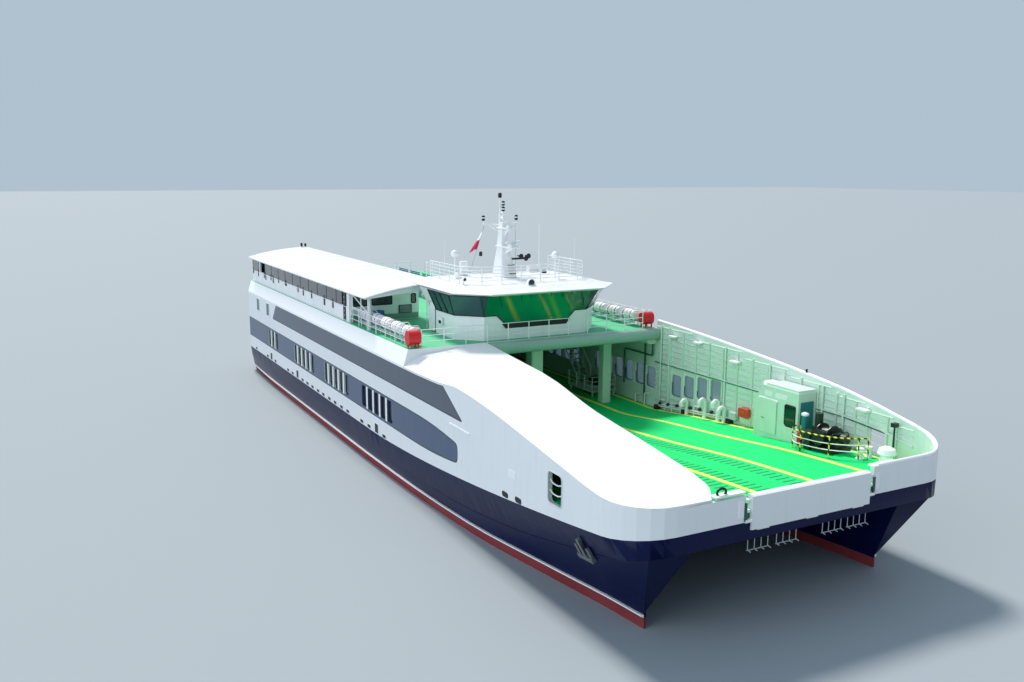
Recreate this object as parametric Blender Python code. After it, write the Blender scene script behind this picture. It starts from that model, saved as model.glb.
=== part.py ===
"""Half-size model of a double-hulled ro-ro ferry with an open bow.

Metres, X towards the bow, Y to port, Z up. The origin is amidships on the centreline at the waterline.
"""

import math

import bmesh
import bpy
from mathutils import Vector

M = 0.5  # one metre of the real ferry, in this half-size model
GAP = 0.0003  # between pieces that rest on each other
RUNNING = 0.005  # between pieces that move past each other

# Main lines
LENGTH = 60.8 * M
BEAM = 17.6 * M
DRAUGHT = 2.0 * M
BOW_X = LENGTH / 2
STERN_X = -BOW_X
HALF_BEAM = BEAM / 2
BOW_RADIUS = 2.0 * M
CORNER_STEPS = 6
CORNER_EASE = 0.008 * M  # inner pieces are this much rounder than the plating that wraps them
STERN_RADIUS = 0.8 * M

# Heights above the water
KNUCKLE_Z = 2.2 * M
KNUCKLE_RISE = 2.5 * M
KNUCKLE_RISE_FROM_X = 3.0 * M
SPRAY_RAIL_Z = 0.6 * M
VEHICLE_DECK_Z = 2.95 * M
CREASE_Z = 7.26 * M
PASSENGER_DECK_Z = 8.2 * M
AFT_ROOF_Z = 10.2 * M
SILL_Z = 9.7 * M
EAVES_Z = 11.0 * M
MAST_TOP_Z = 16.7 * M

# Plate and slab thicknesses
SIDE_PLATE = 0.2 * M
INNER = SIDE_PLATE + 0.004 * M  # from the outer skin to what is laid inside the plating
DECK_PLATE = 0.06 * M
ROOF_PLATE = 0.12 * M
HOUSE_WALL = 0.14 * M
GLASS = 0.04 * M

# Double hull
HULL_CENTRE_Y = 6.5 * M
HAUNCH = 0.8 * M
BULB_RADIUS = 0.62 * M
BULB_LENGTH = 3.0 * M
BULB_X = 26.4 * M
STEM_RAKE = 0.55
SPRAY_RAIL_SIZE = 0.12 * M
WET_DECK_SEAM = 0.02 * M

# Openings in the side plating
LIGHT_WIDE = 0.84 * M
LIGHT_TALL = 1.35 * M
LIGHT_PITCH = 1.12 * M
LIGHT_CORNER = 0.18 * M
PORT_LIGHT_WIDE = 0.98 * M
PORT_LIGHT_PITCH = 1.24 * M
BOARDING_WIDE = 1.1 * M
BOARDING_TALL = 1.35 * M
BOARDING_CORNER = 0.15 * M
TALL_WINDOWS_X = (-26.6 * M, -23.2 * M)
TALL_WINDOW_WIDE = 1.0 * M
TALL_WINDOW_Z = 5.9 * M
TALL_WINDOW_TALL = 1.1 * M
TALL_WINDOW_CORNER = 0.1 * M

# Bow door and its slots
BOW_SLOT_Y = 3.36 * M
BOW_SLOT_WIDE = 0.26 * M
BULWARK_TALL = 1.2 * M
BOW_LIP_DEEP = 0.34 * M
BOW_LIP_THICK = 0.09 * M
BOW_HINGE_X = BOW_X + RUNNING + BOW_LIP_THICK / 2
BOW_HINGES = ((-2.6 * M, 0.3 * M), (0.0, 0.3 * M), (2.6 * M, 0.3 * M))  # centre y, half-length

# Stern ramp
RAMP_HALF_WIDE = 4.2 * M
RAMP_TALL = 3.75 * M
RAMP_THICK = 0.14 * M
RAMP_OVERLAP = 0.3 * M
RAMP_OPENING_HALF = RAMP_HALF_WIDE + 2 * RUNNING
HINGE_RADIUS = 0.06 * M
RAMP_HINGE_X = STERN_X - RUNNING - RAMP_THICK / 2
RAMP_HINGE_Z = VEHICLE_DECK_Z - 0.16 * M
RAMP_HINGES = ((-3.6 * M, 0.35 * M), (0.0, 0.35 * M), (3.6 * M, 0.35 * M))  # centre y, half-length

# Passenger deck and its girder
DECK_FRONT_X = 8.2 * M
SLAB_THICK = 0.62 * M
PORT_STEP_X = DECK_FRONT_X + 0.12 * M
GIRDER_DEEP = 0.72 * M
GIRDER_WIDE = 0.6 * M
CASING_Y = 4.1 * M
CASING_WALL = 0.14 * M
PILLAR_CENTRE = (6.2 * M, 0.75 * M)
PILLAR_PORT = (5.5 * M, 6.5 * M)
PILLAR_CENTRE_WIDE = 0.85 * M
PILLAR_PORT_WIDE = 0.65 * M

# Aft house
HOUSE_AFT_X = -29.3 * M
HOUSE_FRONT_X = -2.3 * M
HOUSE_OUTER_Y = -8.4 * M
HOUSE_INNER_Y = -3.5 * M
BAND_Z = 9.25 * M
BAND_TALL = 0.86 * M
BAND_POST = 0.32 * M
BAND_LIGHTS = 12
HOUSE_FRONT_LIGHTS = ((-8.15 * M, 1.1 * M), (-6.84 * M, 1.43 * M), (-4.05 * M, 0.35 * M))
HOUSE_DOOR_X = -4.5 * M
HOUSE_DOOR_WIDE = 1.2 * M
HOUSE_DOOR_TALL = 1.75 * M
ROOF_AFT_X = -29.7 * M
ROOF_FRONT_X = 1.45 * M
ROOF_OUTER_Y = -8.6 * M
ROOF_INNER_Y = -3.3 * M
ROOF_THICK = 0.16 * M
ROOF_RISE = 0.52 * M
ROOF_ARCH = 0.69 * M
ROOF_FACETS = 5
POST_X = 1.1 * M
POST_SIZE = 0.14 * M
POST_INBOARD = 0.36 * M

# Wheelhouse
WHEELHOUSE_AFT_X = 2.5 * M
WHEELHOUSE_FRONT_X = 7.7 * M
WHEELHOUSE_HALF = 4.8 * M
WHEELHOUSE_CHAMFER = 1.3 * M
WINDOW_RAKE = 0.6 * M
WINDOW_PANES_FRONT = 5
WINDOW_PANES_SIDE = 3
WHEELHOUSE_DOOR_BAY = 1.3 * M
WHEELHOUSE_DOOR_POST = 0.3 * M
WHEELHOUSE_DOOR_WIDE = 0.8 * M
WHEELHOUSE_DOOR_TALL = 1.9 * M
MULLION = 0.1 * M
SILL_BAND = 0.1 * M
NOTCH_PANES = 3  # front panes that drop below the others, about the middle one
NOTCH_DROP = 0.55 * M
WHEELHOUSE_ROOF_FRONT_X = 9.3 * M
WHEELHOUSE_ROOF_AFT_X = 1.5 * M
WHEELHOUSE_ROOF_HALF = 5.5 * M
WHEELHOUSE_ROOF_CHAMFER = 1.7 * M
WHEELHOUSE_ROOF_THICK = 0.45 * M
WHEELHOUSE_ROOF_BEVEL = 1.1 * M

# Rails
RAIL_TALL = 1.05 * M
RAIL_BAR = 0.05 * M
RAIL_POST_PITCH = 1.5 * M
GUARD_POST_PITCH = 0.8 * M
RAILS = 3

# Mast
MAST_X = 2.9 * M  # the pole
TRUNK_X = MAST_X + 0.45 * M
MAST_FOOT = 1.1 * M
MAST_POLE = 0.08 * M
MAST_WAIST = 0.62 * MAST_FOOT
MAST_WAIST_Z = 13.0 * M
MAST_NECK = 0.42 * MAST_FOOT
MAST_NECK_Z = 14.9 * M
MAST_NARROW = 0.8  # width over length of its section
RADAR_LOW_Z = 13.6 * M
RADAR_HIGH_Z = 14.75 * M
RADAR_LONG = 1.9 * M
RADAR_HIGH_LONG = 0.6 * RADAR_LONG
RADAR_LOW_TURN = math.radians(35)  # how the lower bar stands at rest
RADAR_CLEAR = 0.06 * M  # from the end of a turning bar to the mast
RADAR_PEDESTAL = 0.16 * M
RADAR_PLATE = 0.07 * M
SPREADER_Z = MAST_NECK_Z - 0.17 * M
SPREADER_HALF = 1.25 * M
SPREADER_THICK = 0.09 * M

# Liferafts and the red boxes
RAFT_RADIUS = 0.36 * M
RAFT_LONG = 1.45 * M
RAFT_PITCH = 1.75 * M
RAFT_COUNT = 5
RAFT_Y = 7.74 * M
RAFT_TO_BOX = 0.225 * M
RED_BOX_X = 7.85 * M
RED_BOX_Y = 8.05 * M
RED_BOX_WIDE = 0.75 * M

# Control cabin and the windlass
CABIN_AFT_X = 19.0 * M
CABIN_FRONT_X = 22.2 * M
CABIN_Y = 7.25 * M
CABIN_TALL = 2.75 * M
CABIN_CHAMFER = 0.9 * M
CABIN_WALL = 0.1 * M
CABIN_DOOR_X = 19.5 * M
CABIN_DOOR_WIDE = 1.15 * M
CABIN_DOOR_TALL = 1.75 * M
CABIN_DOOR_THICK = 0.05 * M
CABIN_DOOR_LAP = 0.04 * M
CABIN_SILL = 0.12 * M
CABIN_HATCH_WIDE = 0.7 * M
CABIN_HATCH_TALL = 1.2 * M
WINDLASS_X = 24.1 * M
WINDLASS_Y = 7.4 * M
GUARD_AFT_RADIUS = 1.3 * M
GUARD_FORE_RADIUS = 2.3 * M
GUARD_STRAIGHT = 0.8 * M
GUARD_X = CABIN_FRONT_X + 0.1 * M
CAPSTAN_X = 27.9 * M
CAPSTAN_Y = 7.2 * M
CAPSTAN_RADIUS = 0.46 * M

# Under water
PROPELLER_X = -27.6 * M
PROPELLER_Z = -1.38 * M
PROPELLER_RADIUS = 0.62 * M
SHAFT_RADIUS = 0.09 * M
SHAFT_LONG = 3.4 * M
RUDDER_X = -28.75 * M
RUDDER_CHORD = 1.3 * M
STOCK_RADIUS = 0.09 * M
RUDDER_BOTTOM_Z = -1.95 * M
BLADES = 4

# Anchors
ANCHOR_X = 26.4 * M
ANCHOR_Z = 2.75 * M
ANCHOR_SEAT = GAP

# Frames on the port wall
FRAMES_START_X = DECK_FRONT_X + GIRDER_WIDE + 0.2 * M
FRAME_DEEP = 0.12 * M
FRAME_WIDE = 0.1 * M
STRINGER_Z = 6.0 * M

# x, waterline half-width of one hull, keel height
HULL_LINES = (
    (-29.6 * M, 2.05 * M, -0.55 * M),
    (-26.0 * M, 2.2 * M, -0.75 * M),
    (-21.0 * M, 2.3 * M, -1.6 * M),
    (-15.0 * M, 2.3 * M, -DRAUGHT),
    (0.0 * M, 2.3 * M, -DRAUGHT),
    (7.6 * M, 2.2 * M, -DRAUGHT),
    (15.7 * M, 1.8 * M, -DRAUGHT),
    (22.5 * M, 0.85 * M, -DRAUGHT),
    (26.0 * M, 0.3 * M, -1.95 * M),
    (28.2 * M, 0.05 * M, -1.5 * M),
)
# x, height of the wet deck between the hulls
WET_DECK = (
    (STERN_X, 1.25 * M),
    (12.0 * M, 1.25 * M),
    (20.0 * M, 1.75 * M),
    (26.0 * M, 2.85 * M),
    (BOW_X, 3.95 * M),
)
# x, rise of the vehicle deck above its after part
DECK_RISE = (
    (STERN_X, 0.0),
    (8.0 * M, 0.0),
    (13.0 * M, 0.5 * M),
    (17.8 * M, 0.9 * M),
    (23.5 * M, 1.45 * M),
    (BOW_X, 1.85 * M),
)
# x, height of the crease above the starboard side plating
CREASE = (
    (STERN_X, CREASE_Z),
    (9.0 * M, CREASE_Z),
    (13.0 * M, 7.34 * M),
    (15.0 * M, 7.5 * M),
    (18.5 * M, 7.25 * M),
    (22.4 * M, 6.74 * M),
    (25.8 * M, 6.25 * M),
    (28.2 * M, 5.95 * M),
    (BOW_X, 5.9 * M),
)
# x, inner edge y and height of the starboard casing roof
CASING_EDGE = (
    (DECK_FRONT_X, 3.6 * M, PASSENGER_DECK_Z),
    (15.5 * M, CASING_Y, 7.9 * M),
    (20.6 * M, CASING_Y, 7.0 * M),
    (23.9 * M, CASING_Y, 6.6 * M),
    (27.1 * M, CASING_Y, 6.2 * M),
    (29.0 * M, 4.3 * M, 5.97 * M),
    (BOW_X, 5.2 * M, 5.9 * M),
)
# x, height of the port rim forward of the passenger deck
PORT_RIM = (
    (DECK_FRONT_X, 8.62 * M),
    (12.0 * M, 8.42 * M),
    (20.0 * M, 7.75 * M),
    (24.2 * M, 7.25 * M),
    (28.0 * M, 6.5 * M),
    (BOW_X, 5.9 * M),
)
# first light's x, number of lights, height of the sills above the laid deck
STARBOARD_LIGHTS = (
    (-22.8 * M, 3, 0.5 * M),
    (-14.8 * M, 5, 0.5 * M),
    (-7.0 * M, 5, 0.5 * M),
    (1.0 * M, 5, 0.5 * M),
)
PORT_LIGHTS = (
    (-22.8 * M, 3, 1.25 * M),
    (-14.8 * M, 5, 1.25 * M),
    (-7.0 * M, 5, 1.25 * M),
    (1.12 * M, 6, 1.25 * M),
    (10.0 * M, 4, 1.05 * M),
)
# side, middle of the doorway's x
BOARDING_DOORWAYS = {-1: 24.9 * M, 1: 26.1 * M}
WHITE = ("white enamel on steel", (0.86, 0.88, 0.9), 0.4, 0.0)
NAVY = ("navy enamel on steel", (0.01, 0.02, 0.09), 0.35, 0.0)
GREEN = ("green deck paint", (0.0, 0.55, 0.24), 0.7, 0.0)
PALE_GREEN = ("pale green enamel", (0.55, 0.78, 0.62), 0.5, 0.0)
RED = ("red enamel", (0.7, 0.02, 0.02), 0.4, 0.0)
TINTED_GLASS = ("green tinted glass", (0.02, 0.18, 0.12), 0.08, 0.0)
BRONZE = ("propeller bronze", (0.55, 0.38, 0.15), 0.3, 1.0)
STEEL = ("galvanised steel", (0.5, 0.52, 0.53), 0.45, 1.0)
DARK = ("dark machinery paint", (0.03, 0.04, 0.045), 0.5, 0.0)


def clear_scene():
    for obj in list(bpy.data.objects):
        bpy.data.objects.remove(obj)


def material(spec):
    name, colour, roughness, metallic = spec
    found = bpy.data.materials.get(name)
    if found:
        return found
    made = bpy.data.materials.new(name)
    made.use_nodes = True
    shader = made.node_tree.nodes["Principled BSDF"]
    shader.inputs["Base Color"].default_value = (*colour, 1.0)
    shader.inputs["Roughness"].default_value = roughness
    shader.inputs["Metallic"].default_value = metallic
    return made


def new_object(name, mesh_builder, spec, parent=None):
    mesh = bpy.data.meshes.new(name)
    bmesh.ops.recalc_face_normals(mesh_builder, faces=mesh_builder.faces[:])
    mesh_builder.to_mesh(mesh)
    mesh_builder.free()
    mesh.materials.append(material(spec))
    obj = bpy.data.objects.new(name, mesh)
    bpy.context.scene.collection.objects.link(obj)
    if parent:
        obj.parent = parent
    return obj


def pivot(name, place):
    """An empty on a joint's axis, whose children are modelled around it."""
    obj = bpy.data.objects.new(name, None)
    obj.location = place
    bpy.context.scene.collection.objects.link(obj)
    return obj


def along(table, x, column=1):
    """A table's column at x, on a smooth curve through its rows."""
    rows = list(table)
    if x <= rows[0][0]:
        return rows[0][column]
    if x >= rows[-1][0]:
        return rows[-1][column]
    slopes = [(b[column] - a[column]) / (b[0] - a[0]) for a, b in zip(rows, rows[1:])]
    tangents = [slopes[0]]
    for before, after in zip(slopes, slopes[1:]):
        tangents.append(0.0 if before * after <= 0 else 2 * before * after / (before + after))
    tangents.append(slopes[-1])
    for i, (a, b) in enumerate(zip(rows, rows[1:])):
        if a[0] <= x <= b[0]:
            span = b[0] - a[0]
            t = (x - a[0]) / span
            return (
                a[column] * (2 * t**3 - 3 * t**2 + 1)
                + tangents[i] * span * (t**3 - 2 * t**2 + t)
                + b[column] * (3 * t**2 - 2 * t**3)
                + tangents[i + 1] * span * (t**3 - t**2)
            )
    return rows[-1][column]


def knuckle_z(x):
    rise = max(0.0, x - KNUCKLE_RISE_FROM_X) / (BOW_X - KNUCKLE_RISE_FROM_X)
    return KNUCKLE_Z + KNUCKLE_RISE * min(1.0, rise) ** 1.6


def deck_z(x):
    return VEHICLE_DECK_Z + along(DECK_RISE, x)


def half_width(x, inset=0.0):
    """Half the beam at x, with round bow and stern corners, for a surface this far inside the plating."""
    for ahead, corner in ((x, BOW_RADIUS), (-x, STERN_RADIUS)):
        reach = ahead - (BOW_X - corner)
        radius = corner - inset - (CORNER_EASE if inset else 0.0)
        if reach > -CORNER_EASE:
            return HALF_BEAM - corner + math.sqrt(max(0.0, radius**2 - max(0.0, reach) ** 2))
    return HALF_BEAM - inset


def stations(start, end, step, extra=()):
    count = max(1, math.ceil((end - start) / step))
    found = {round(start + (end - start) * i / count, 6) for i in range(count + 1)}
    found |= {round(x, 6) for x in extra if start < x < end}
    kept = []
    for x in sorted(found):
        if not kept or x - kept[-1] > 0.02:
            kept.append(x)
    kept[-1] = end
    return kept


def deck_surface(x):
    """The height of the laid vehicle deck at x: its plates run straight from station to station."""
    inset = INNER
    run = side_stations(STERN_X + inset, BOW_X - inset, inset)
    for a, b in zip(run, run[1:]):
        if a <= x <= b:
            return deck_z(a) + (deck_z(b) - deck_z(a)) * (x - a) / (b - a)
    return deck_z(x)


def deck_line(start, end):
    """Points (x, z) along the laid deck, for what stands on it."""
    inset = INNER
    run = side_stations(STERN_X + inset, BOW_X - inset, inset)
    xs = [start] + [x for x in run if start + 0.001 < x < end - 0.001] + [end]
    return [(x, deck_surface(x) + GAP) for x in xs]


def corner_turns():
    return [math.pi / 2 * i / CORNER_STEPS for i in range(CORNER_STEPS + 1)]


def side_stations(start, end, inset=0.0):
    """Stations that everything along the side shares, so that what meets there meets in one line."""
    tables = (DECK_RISE, CREASE, CASING_EDGE, PORT_RIM, WET_DECK)
    extra = [row[0] for table in tables for row in table] + [KNUCKLE_RISE_FROM_X, DECK_FRONT_X, PORT_STEP_X]
    run = stations(STERN_X + STERN_RADIUS, BOW_X - BOW_RADIUS, 1.9 * M, extra)
    run += [BOW_X - BOW_RADIUS + (BOW_RADIUS - inset) * math.sin(turn) for turn in corner_turns()[1:]]
    run += [STERN_X + STERN_RADIUS - (STERN_RADIUS - inset) * math.sin(turn) for turn in corner_turns()[1:]]
    return [start] + [x for x in sorted(run) if start + 0.01 < x < end - 0.0001] + [end]


def loft(sections):
    """A closed body through sections of equally many points, capped at both ends."""
    builder = bmesh.new()
    rings = [[builder.verts.new(point) for point in section] for section in sections]
    for one, two in zip(rings, rings[1:]):
        for i in range(len(one)):
            j = (i + 1) % len(one)
            builder.faces.new((one[i], one[j], two[j], two[i]))
    builder.faces.new(reversed(rings[0]))
    builder.faces.new(rings[-1])
    return builder


def ring_loft(levels):
    """A tube through closed outlines, each level an (outer, inner) pair, capped at top and bottom."""
    builder = bmesh.new()
    outer = [[builder.verts.new(point) for point in level[0]] for level in levels]
    inner = [[builder.verts.new(point) for point in level[1]] for level in levels]
    for rings in (outer, inner):
        for one, two in zip(rings, rings[1:]):
            for i in range(len(one)):
                j = (i + 1) % len(one)
                builder.faces.new((one[i], one[j], two[j], two[i]))
    for k in (0, -1):
        count = len(outer[k])
        for i in range(count):
            j = (i + 1) % count
            builder.faces.new((outer[k][i], outer[k][j], inner[k][j], inner[k][i]))
    return builder


def box(low, high):
    builder = bmesh.new()
    for vert in bmesh.ops.create_cube(builder, size=1.0)["verts"]:
        vert.co = Vector([low[i] + (vert.co[i] + 0.5) * (high[i] - low[i]) for i in range(3)])
    return builder


def cylinder(start, end, radius, sides=16, end_radius=None):
    builder = bmesh.new()
    start, end = Vector(start), Vector(end)
    turn = (end - start).to_track_quat("Z", "Y")
    for centre, size in ((start, radius), (end, radius if end_radius is None else end_radius)):
        for i in range(sides):
            angle = 2 * math.pi * i / sides
            local = Vector((size * math.cos(angle), size * math.sin(angle), 0.0))
            builder.verts.new(centre + turn @ local)
    builder.verts.ensure_lookup_table()
    low, high = builder.verts[:sides], builder.verts[sides:]
    for i in range(sides):
        j = (i + 1) % sides
        builder.faces.new((low[i], low[j], high[j], high[i]))
    builder.faces.new(reversed(low))
    builder.faces.new(high)
    return builder


def prism(outline, low, high, axis):
    """An outline of two coordinates, swept along the third from low to high."""
    def place(a, b, c):
        return {"X": (c, a, b), "Y": (a, c, b), "Z": (a, b, c)}[axis]

    return loft([[place(a, b, c) for a, b in outline] for c in (low, high)])


def rounded(low, high, radius, steps=3):
    """A rectangle's outline with round corners."""
    points = []
    for cx, cy, start in (
        (high[0] - radius, high[1] - radius, 0),
        (low[0] + radius, high[1] - radius, 90),
        (low[0] + radius, low[1] + radius, 180),
        (high[0] - radius, low[1] + radius, 270),
    ):
        for i in range(steps + 1):
            angle = math.radians(start + 90 * i / steps)
            points.append((cx + radius * math.cos(angle), cy + radius * math.sin(angle)))
    return points


def helper(name, builder):
    obj = new_object(name, builder, DARK)
    obj.hide_render = True
    obj.display_type = "WIRE"
    return obj


def combine(obj, builders, operation):
    """Cuts these closed shapes from the object, or joins them to it."""
    if not builders:
        return obj
    group = bpy.data.collections.new(f"{operation.lower()} for {obj.name}")
    bpy.context.scene.collection.children.link(group)
    for i, builder in enumerate(builders):
        tool = helper(f"{obj.name}-{operation.lower()}-{i}", builder)
        bpy.context.scene.collection.objects.unlink(tool)
        group.objects.link(tool)
        tool.parent = obj.parent
    group.hide_render = True
    modifier = obj.modifiers.new(operation.title(), "BOOLEAN")
    modifier.operation = operation
    modifier.operand_type = "COLLECTION"
    modifier.collection = group
    modifier.solver = "EXACT"
    return obj


def wall(points, thickness):
    """A wall on a path of (x, y, foot z, top z) points, thickened to the left of the way it runs."""
    flat = [Vector(point[:2]) for point in points]
    sections = []
    for i, (here, point) in enumerate(zip(flat, points)):
        before = (here - flat[i - 1]).normalized() if i else None
        after = (flat[i + 1] - here).normalized() if i + 1 < len(flat) else None
        before, after = before or after, after or before
        left = Vector((-(before + after).y, (before + after).x)).normalized()
        reach = thickness / max(0.3, left.dot(Vector((-before.y, before.x))))
        inside = here + left * reach
        sections.append(
            [
                (here.x, here.y, point[2]),
                (here.x, here.y, point[3]),
                (inside.x, inside.y, point[3]),
                (inside.x, inside.y, point[2]),
            ]
        )
    return loft(sections)


def railing(path, foot_z, tall=RAIL_TALL, rails=RAILS, bar=RAIL_BAR, pitch=RAIL_POST_PITCH, slope=None):
    """One lattice of posts and rails along a plan path, as thick as its bars."""
    spots = []
    for a, b in zip(path, path[1:]):
        a, b = Vector(a), Vector(b)
        count = max(1, round((b - a).length / pitch))
        for i in range(count):
            spots.append((a.lerp(b, i / count), (b - a).normalized()))
    spots.append((Vector(path[-1]), (Vector(path[-1]) - Vector(path[-2])).normalized()))
    first, last = spots[0], spots[-1]
    columns = [first[0], first[0] + first[1] * bar]
    for (_, back), (spot, ahead) in zip(spots[:-2], spots[1:-1]):
        columns += [spot - back * bar / 2, spot + ahead * bar / 2]
    columns += [last[0] - last[1] * bar, last[0]]
    heights = [0.0]
    for i in range(rails):
        level = tall * (i + 1) / rails
        heights += [level - bar, level]
    builder = bmesh.new()
    grid = {}

    def vert(i, j):
        if (i, j) not in grid:
            place = columns[i]
            base = foot_z if slope is None else slope(place.x)
            grid[i, j] = builder.verts.new((place.x, place.y, base + heights[j]))
        return grid[i, j]

    faces = []
    for i in range(len(columns) - 1):
        post = i % 2 == 0
        for j in range(len(heights) - 1):
            rail = j % 2 == 1
            if post or rail:
                corners = (vert(i, j), vert(i + 1, j), vert(i + 1, j + 1), vert(i, j + 1))
                faces.append(builder.faces.new(corners))
    bmesh.ops.recalc_face_normals(builder, faces=faces)
    bmesh.ops.solidify(builder, geom=faces, thickness=bar)
    return builder


def side_name(side):
    return "port" if side > 0 else "starboard"


def rake_at(x):
    """How far forward the hull leans for each metre of height, from nothing aft to the stem's rake."""
    start, stem = HULL_LINES[-3][0], HULL_LINES[-1][0]
    return STEM_RAKE * max(0.0, (x - start) / (stem - start))


def flare_y(x, z):
    """The outer skin between the spray rail and the knuckle."""
    start, stem = HULL_LINES[-3][0], HULL_LINES[-1][0]
    lean = STEM_RAKE * (z - SPRAY_RAIL_Z) / (stem - start)
    station = x if x < start else (x + lean * start) / (1 + lean)
    outer = HULL_CENTRE_Y + along(HULL_LINES, station)
    reach = (z - SPRAY_RAIL_Z) / (knuckle_z(x) - SPRAY_RAIL_Z)
    return outer + (half_width(x) - outer) * max(0.0, min(1.0, reach))


def hull_section(x, half, keel, side):
    """One hull's outline at x, up to the wet deck, raked forward at the stem."""
    top_x, top = x, along(WET_DECK, x)
    for _ in range(8):
        top_x = x + rake_at(x) * (top - SPRAY_RAIL_Z)
        top = along(WET_DECK, top_x)
    outer = HULL_CENTRE_Y + half
    bilge = keel + 0.45 * (SPRAY_RAIL_Z - keel)
    inner = HULL_CENTRE_Y - half
    haunch = min(HAUNCH, top - SPRAY_RAIL_Z)
    seam = GAP if x < WET_DECK[1][0] else WET_DECK_SEAM
    profile = [
        (x, HULL_CENTRE_Y + 0.45 * half, keel),
        (x, HULL_CENTRE_Y + 0.92 * half, bilge),
        (x, outer, SPRAY_RAIL_Z),
        (top_x, flare_y(top_x, top), top - seam),
        (top_x, inner - haunch, top - seam),
        (x, inner, SPRAY_RAIL_Z + 0.2 * haunch),
        (x, HULL_CENTRE_Y - 0.92 * half, bilge),
        (x, HULL_CENTRE_Y - 0.45 * half, keel),
    ]
    return [(px, side * py, pz) for px, py, pz in profile]


def hull(side):
    sections = [
        hull_section(x, along(HULL_LINES, x), along(HULL_LINES, x, 2), side) for x in hull_stations()
    ]
    obj = new_object(f"hull_{side_name(side)}", loft(sections), NAVY)
    bulb = bmesh.new()
    bmesh.ops.create_uvsphere(bulb, u_segments=14, v_segments=8, radius=1.0)
    for vert in bulb.verts:
        vert.co = Vector(
            (
                BULB_X + vert.co.x * BULB_LENGTH,
                side * HULL_CENTRE_Y + vert.co.y * BULB_RADIUS,
                -DRAUGHT + BULB_RADIUS * 1.1 + vert.co.z * BULB_RADIUS,
            )
        )
    return combine(obj, [bulb], "UNION")


def cross_structure():
    """The box's skin to the knuckle, and the deck's support inside the side plating."""
    lower = []
    for x in side_stations(STERN_X, BOW_X):
        low, knuckle = along(WET_DECK, x), knuckle_z(x)
        corner = max(0.0, x - (BOW_X - BOW_RADIUS)) / BOW_RADIUS
        foot = flare_y(x, low)
        foot = min(foot + (half_width(x) - foot) * corner, half_width(x))
        half = [(foot, low), (half_width(x), knuckle - GAP)]
        lower.append([(x, y, z) for y, z in half] + [(x, -y, z) for y, z in reversed(half)])
    obj = new_object("cross_structure", loft(lower), NAVY)
    inset = INNER
    upper = []
    for x in side_stations(STERN_X + inset, BOW_X - inset, inset):
        y = half_width(x, inset)
        top = deck_z(x) - DECK_PLATE - GAP
        foot = knuckle_z(x) - 0.3 * M
        upper.append([(x, y, foot), (x, y, top), (x, -y, top), (x, -y, foot)])
    return combine(obj, [loft(upper), *ramp_bearings(), *bow_bearings()], "UNION")


def vehicle_deck():
    inset = INNER
    sections = []
    for x in side_stations(STERN_X + inset, BOW_X - inset, inset):
        y = half_width(x, inset)
        top = deck_z(x)
        sections.append([(x, y, top - DECK_PLATE), (x, y, top), (x, -y, top), (x, -y, top - DECK_PLATE)])
    return new_object("vehicle_deck", loft(sections), GREEN)


def wall_top(x, side):
    """The top of the side plating, under the roof plate or at the open port rim."""
    if side > 0 and x > DECK_FRONT_X + 0.01 * M:
        return along(PORT_RIM, x)
    return along(CREASE, x) - ROOF_PLATE - GAP


def side_path():
    """Plan path of one side's plating, from the stern opening round to the bow slot."""
    points = [(STERN_X, RAMP_OPENING_HALF)]
    for turn in reversed(corner_turns()):
        x = STERN_X + STERN_RADIUS * (1 - math.sin(turn))
        points.append((x, HALF_BEAM - STERN_RADIUS * (1 - math.cos(turn))))
    start, end = STERN_X + STERN_RADIUS, BOW_X - BOW_RADIUS
    points += [(x, HALF_BEAM) for x in side_stations(start, end)[1:-1]]
    for turn in corner_turns():
        points.append((end + BOW_RADIUS * math.sin(turn), HALF_BEAM - BOW_RADIUS * (1 - math.cos(turn))))
    return points + [(BOW_X, BOW_SLOT_Y + BOW_SLOT_WIDE / 2)]


def light_cutters(side):
    """The groups of openings in the lower band, the boarding doorway and the aft windows."""
    low, high = sorted((side * (HALF_BEAM - 2 * SIDE_PLATE), side * (HALF_BEAM + SIDE_PLATE)))
    wide, pitch = (PORT_LIGHT_WIDE, PORT_LIGHT_PITCH) if side > 0 else (LIGHT_WIDE, LIGHT_PITCH)
    outlines = []
    for first, count, sill in PORT_LIGHTS if side > 0 else STARBOARD_LIGHTS:
        for i in range(count):
            x, foot = first + i * pitch, deck_z(first + i * pitch) + sill
            outlines.append(rounded((x, foot), (x + wide, foot + LIGHT_TALL), LIGHT_CORNER, 2))
    door = BOARDING_DOORWAYS[side]
    start, foot = door - BOARDING_WIDE / 2, deck_z(door) + 2 * RUNNING
    outlines.append(rounded((start, foot), (start + BOARDING_WIDE, foot + BOARDING_TALL), BOARDING_CORNER, 2))
    for x in TALL_WINDOWS_X:
        corner = (x + TALL_WINDOW_WIDE, TALL_WINDOW_Z + TALL_WINDOW_TALL)
        outlines.append(rounded((x, TALL_WINDOW_Z), corner, TALL_WINDOW_CORNER, 2))
    return [prism(outline, low, high, "Y") for outline in outlines]


def side_wall(side):
    """One side's plating: the stern corner, the straight side with its openings, and the bow corner."""
    path = side_path()
    turn = CORNER_STEPS + 3  # points of a corner, with the straight bay beside it
    aft, fore = path[turn - 1][0] + GAP, path[-turn][0] - GAP
    spans = {
        "stern_corner": path[:turn],
        "side_wall": [(aft, HALF_BEAM), *path[turn:-turn], (fore, HALF_BEAM)],
        "bow_corner": path[-turn:],
    }
    for name, span in spans.items():
        points = [(x, side * y, knuckle_z(x), wall_top(x, side)) for x, y in span]
        if side > 0:
            points.reverse()
        obj = new_object(f"{name}_{side_name(side)}", wall(points, SIDE_PLATE), WHITE)
        if name == "side_wall":
            combine(obj, light_cutters(side), "DIFFERENCE")


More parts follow.
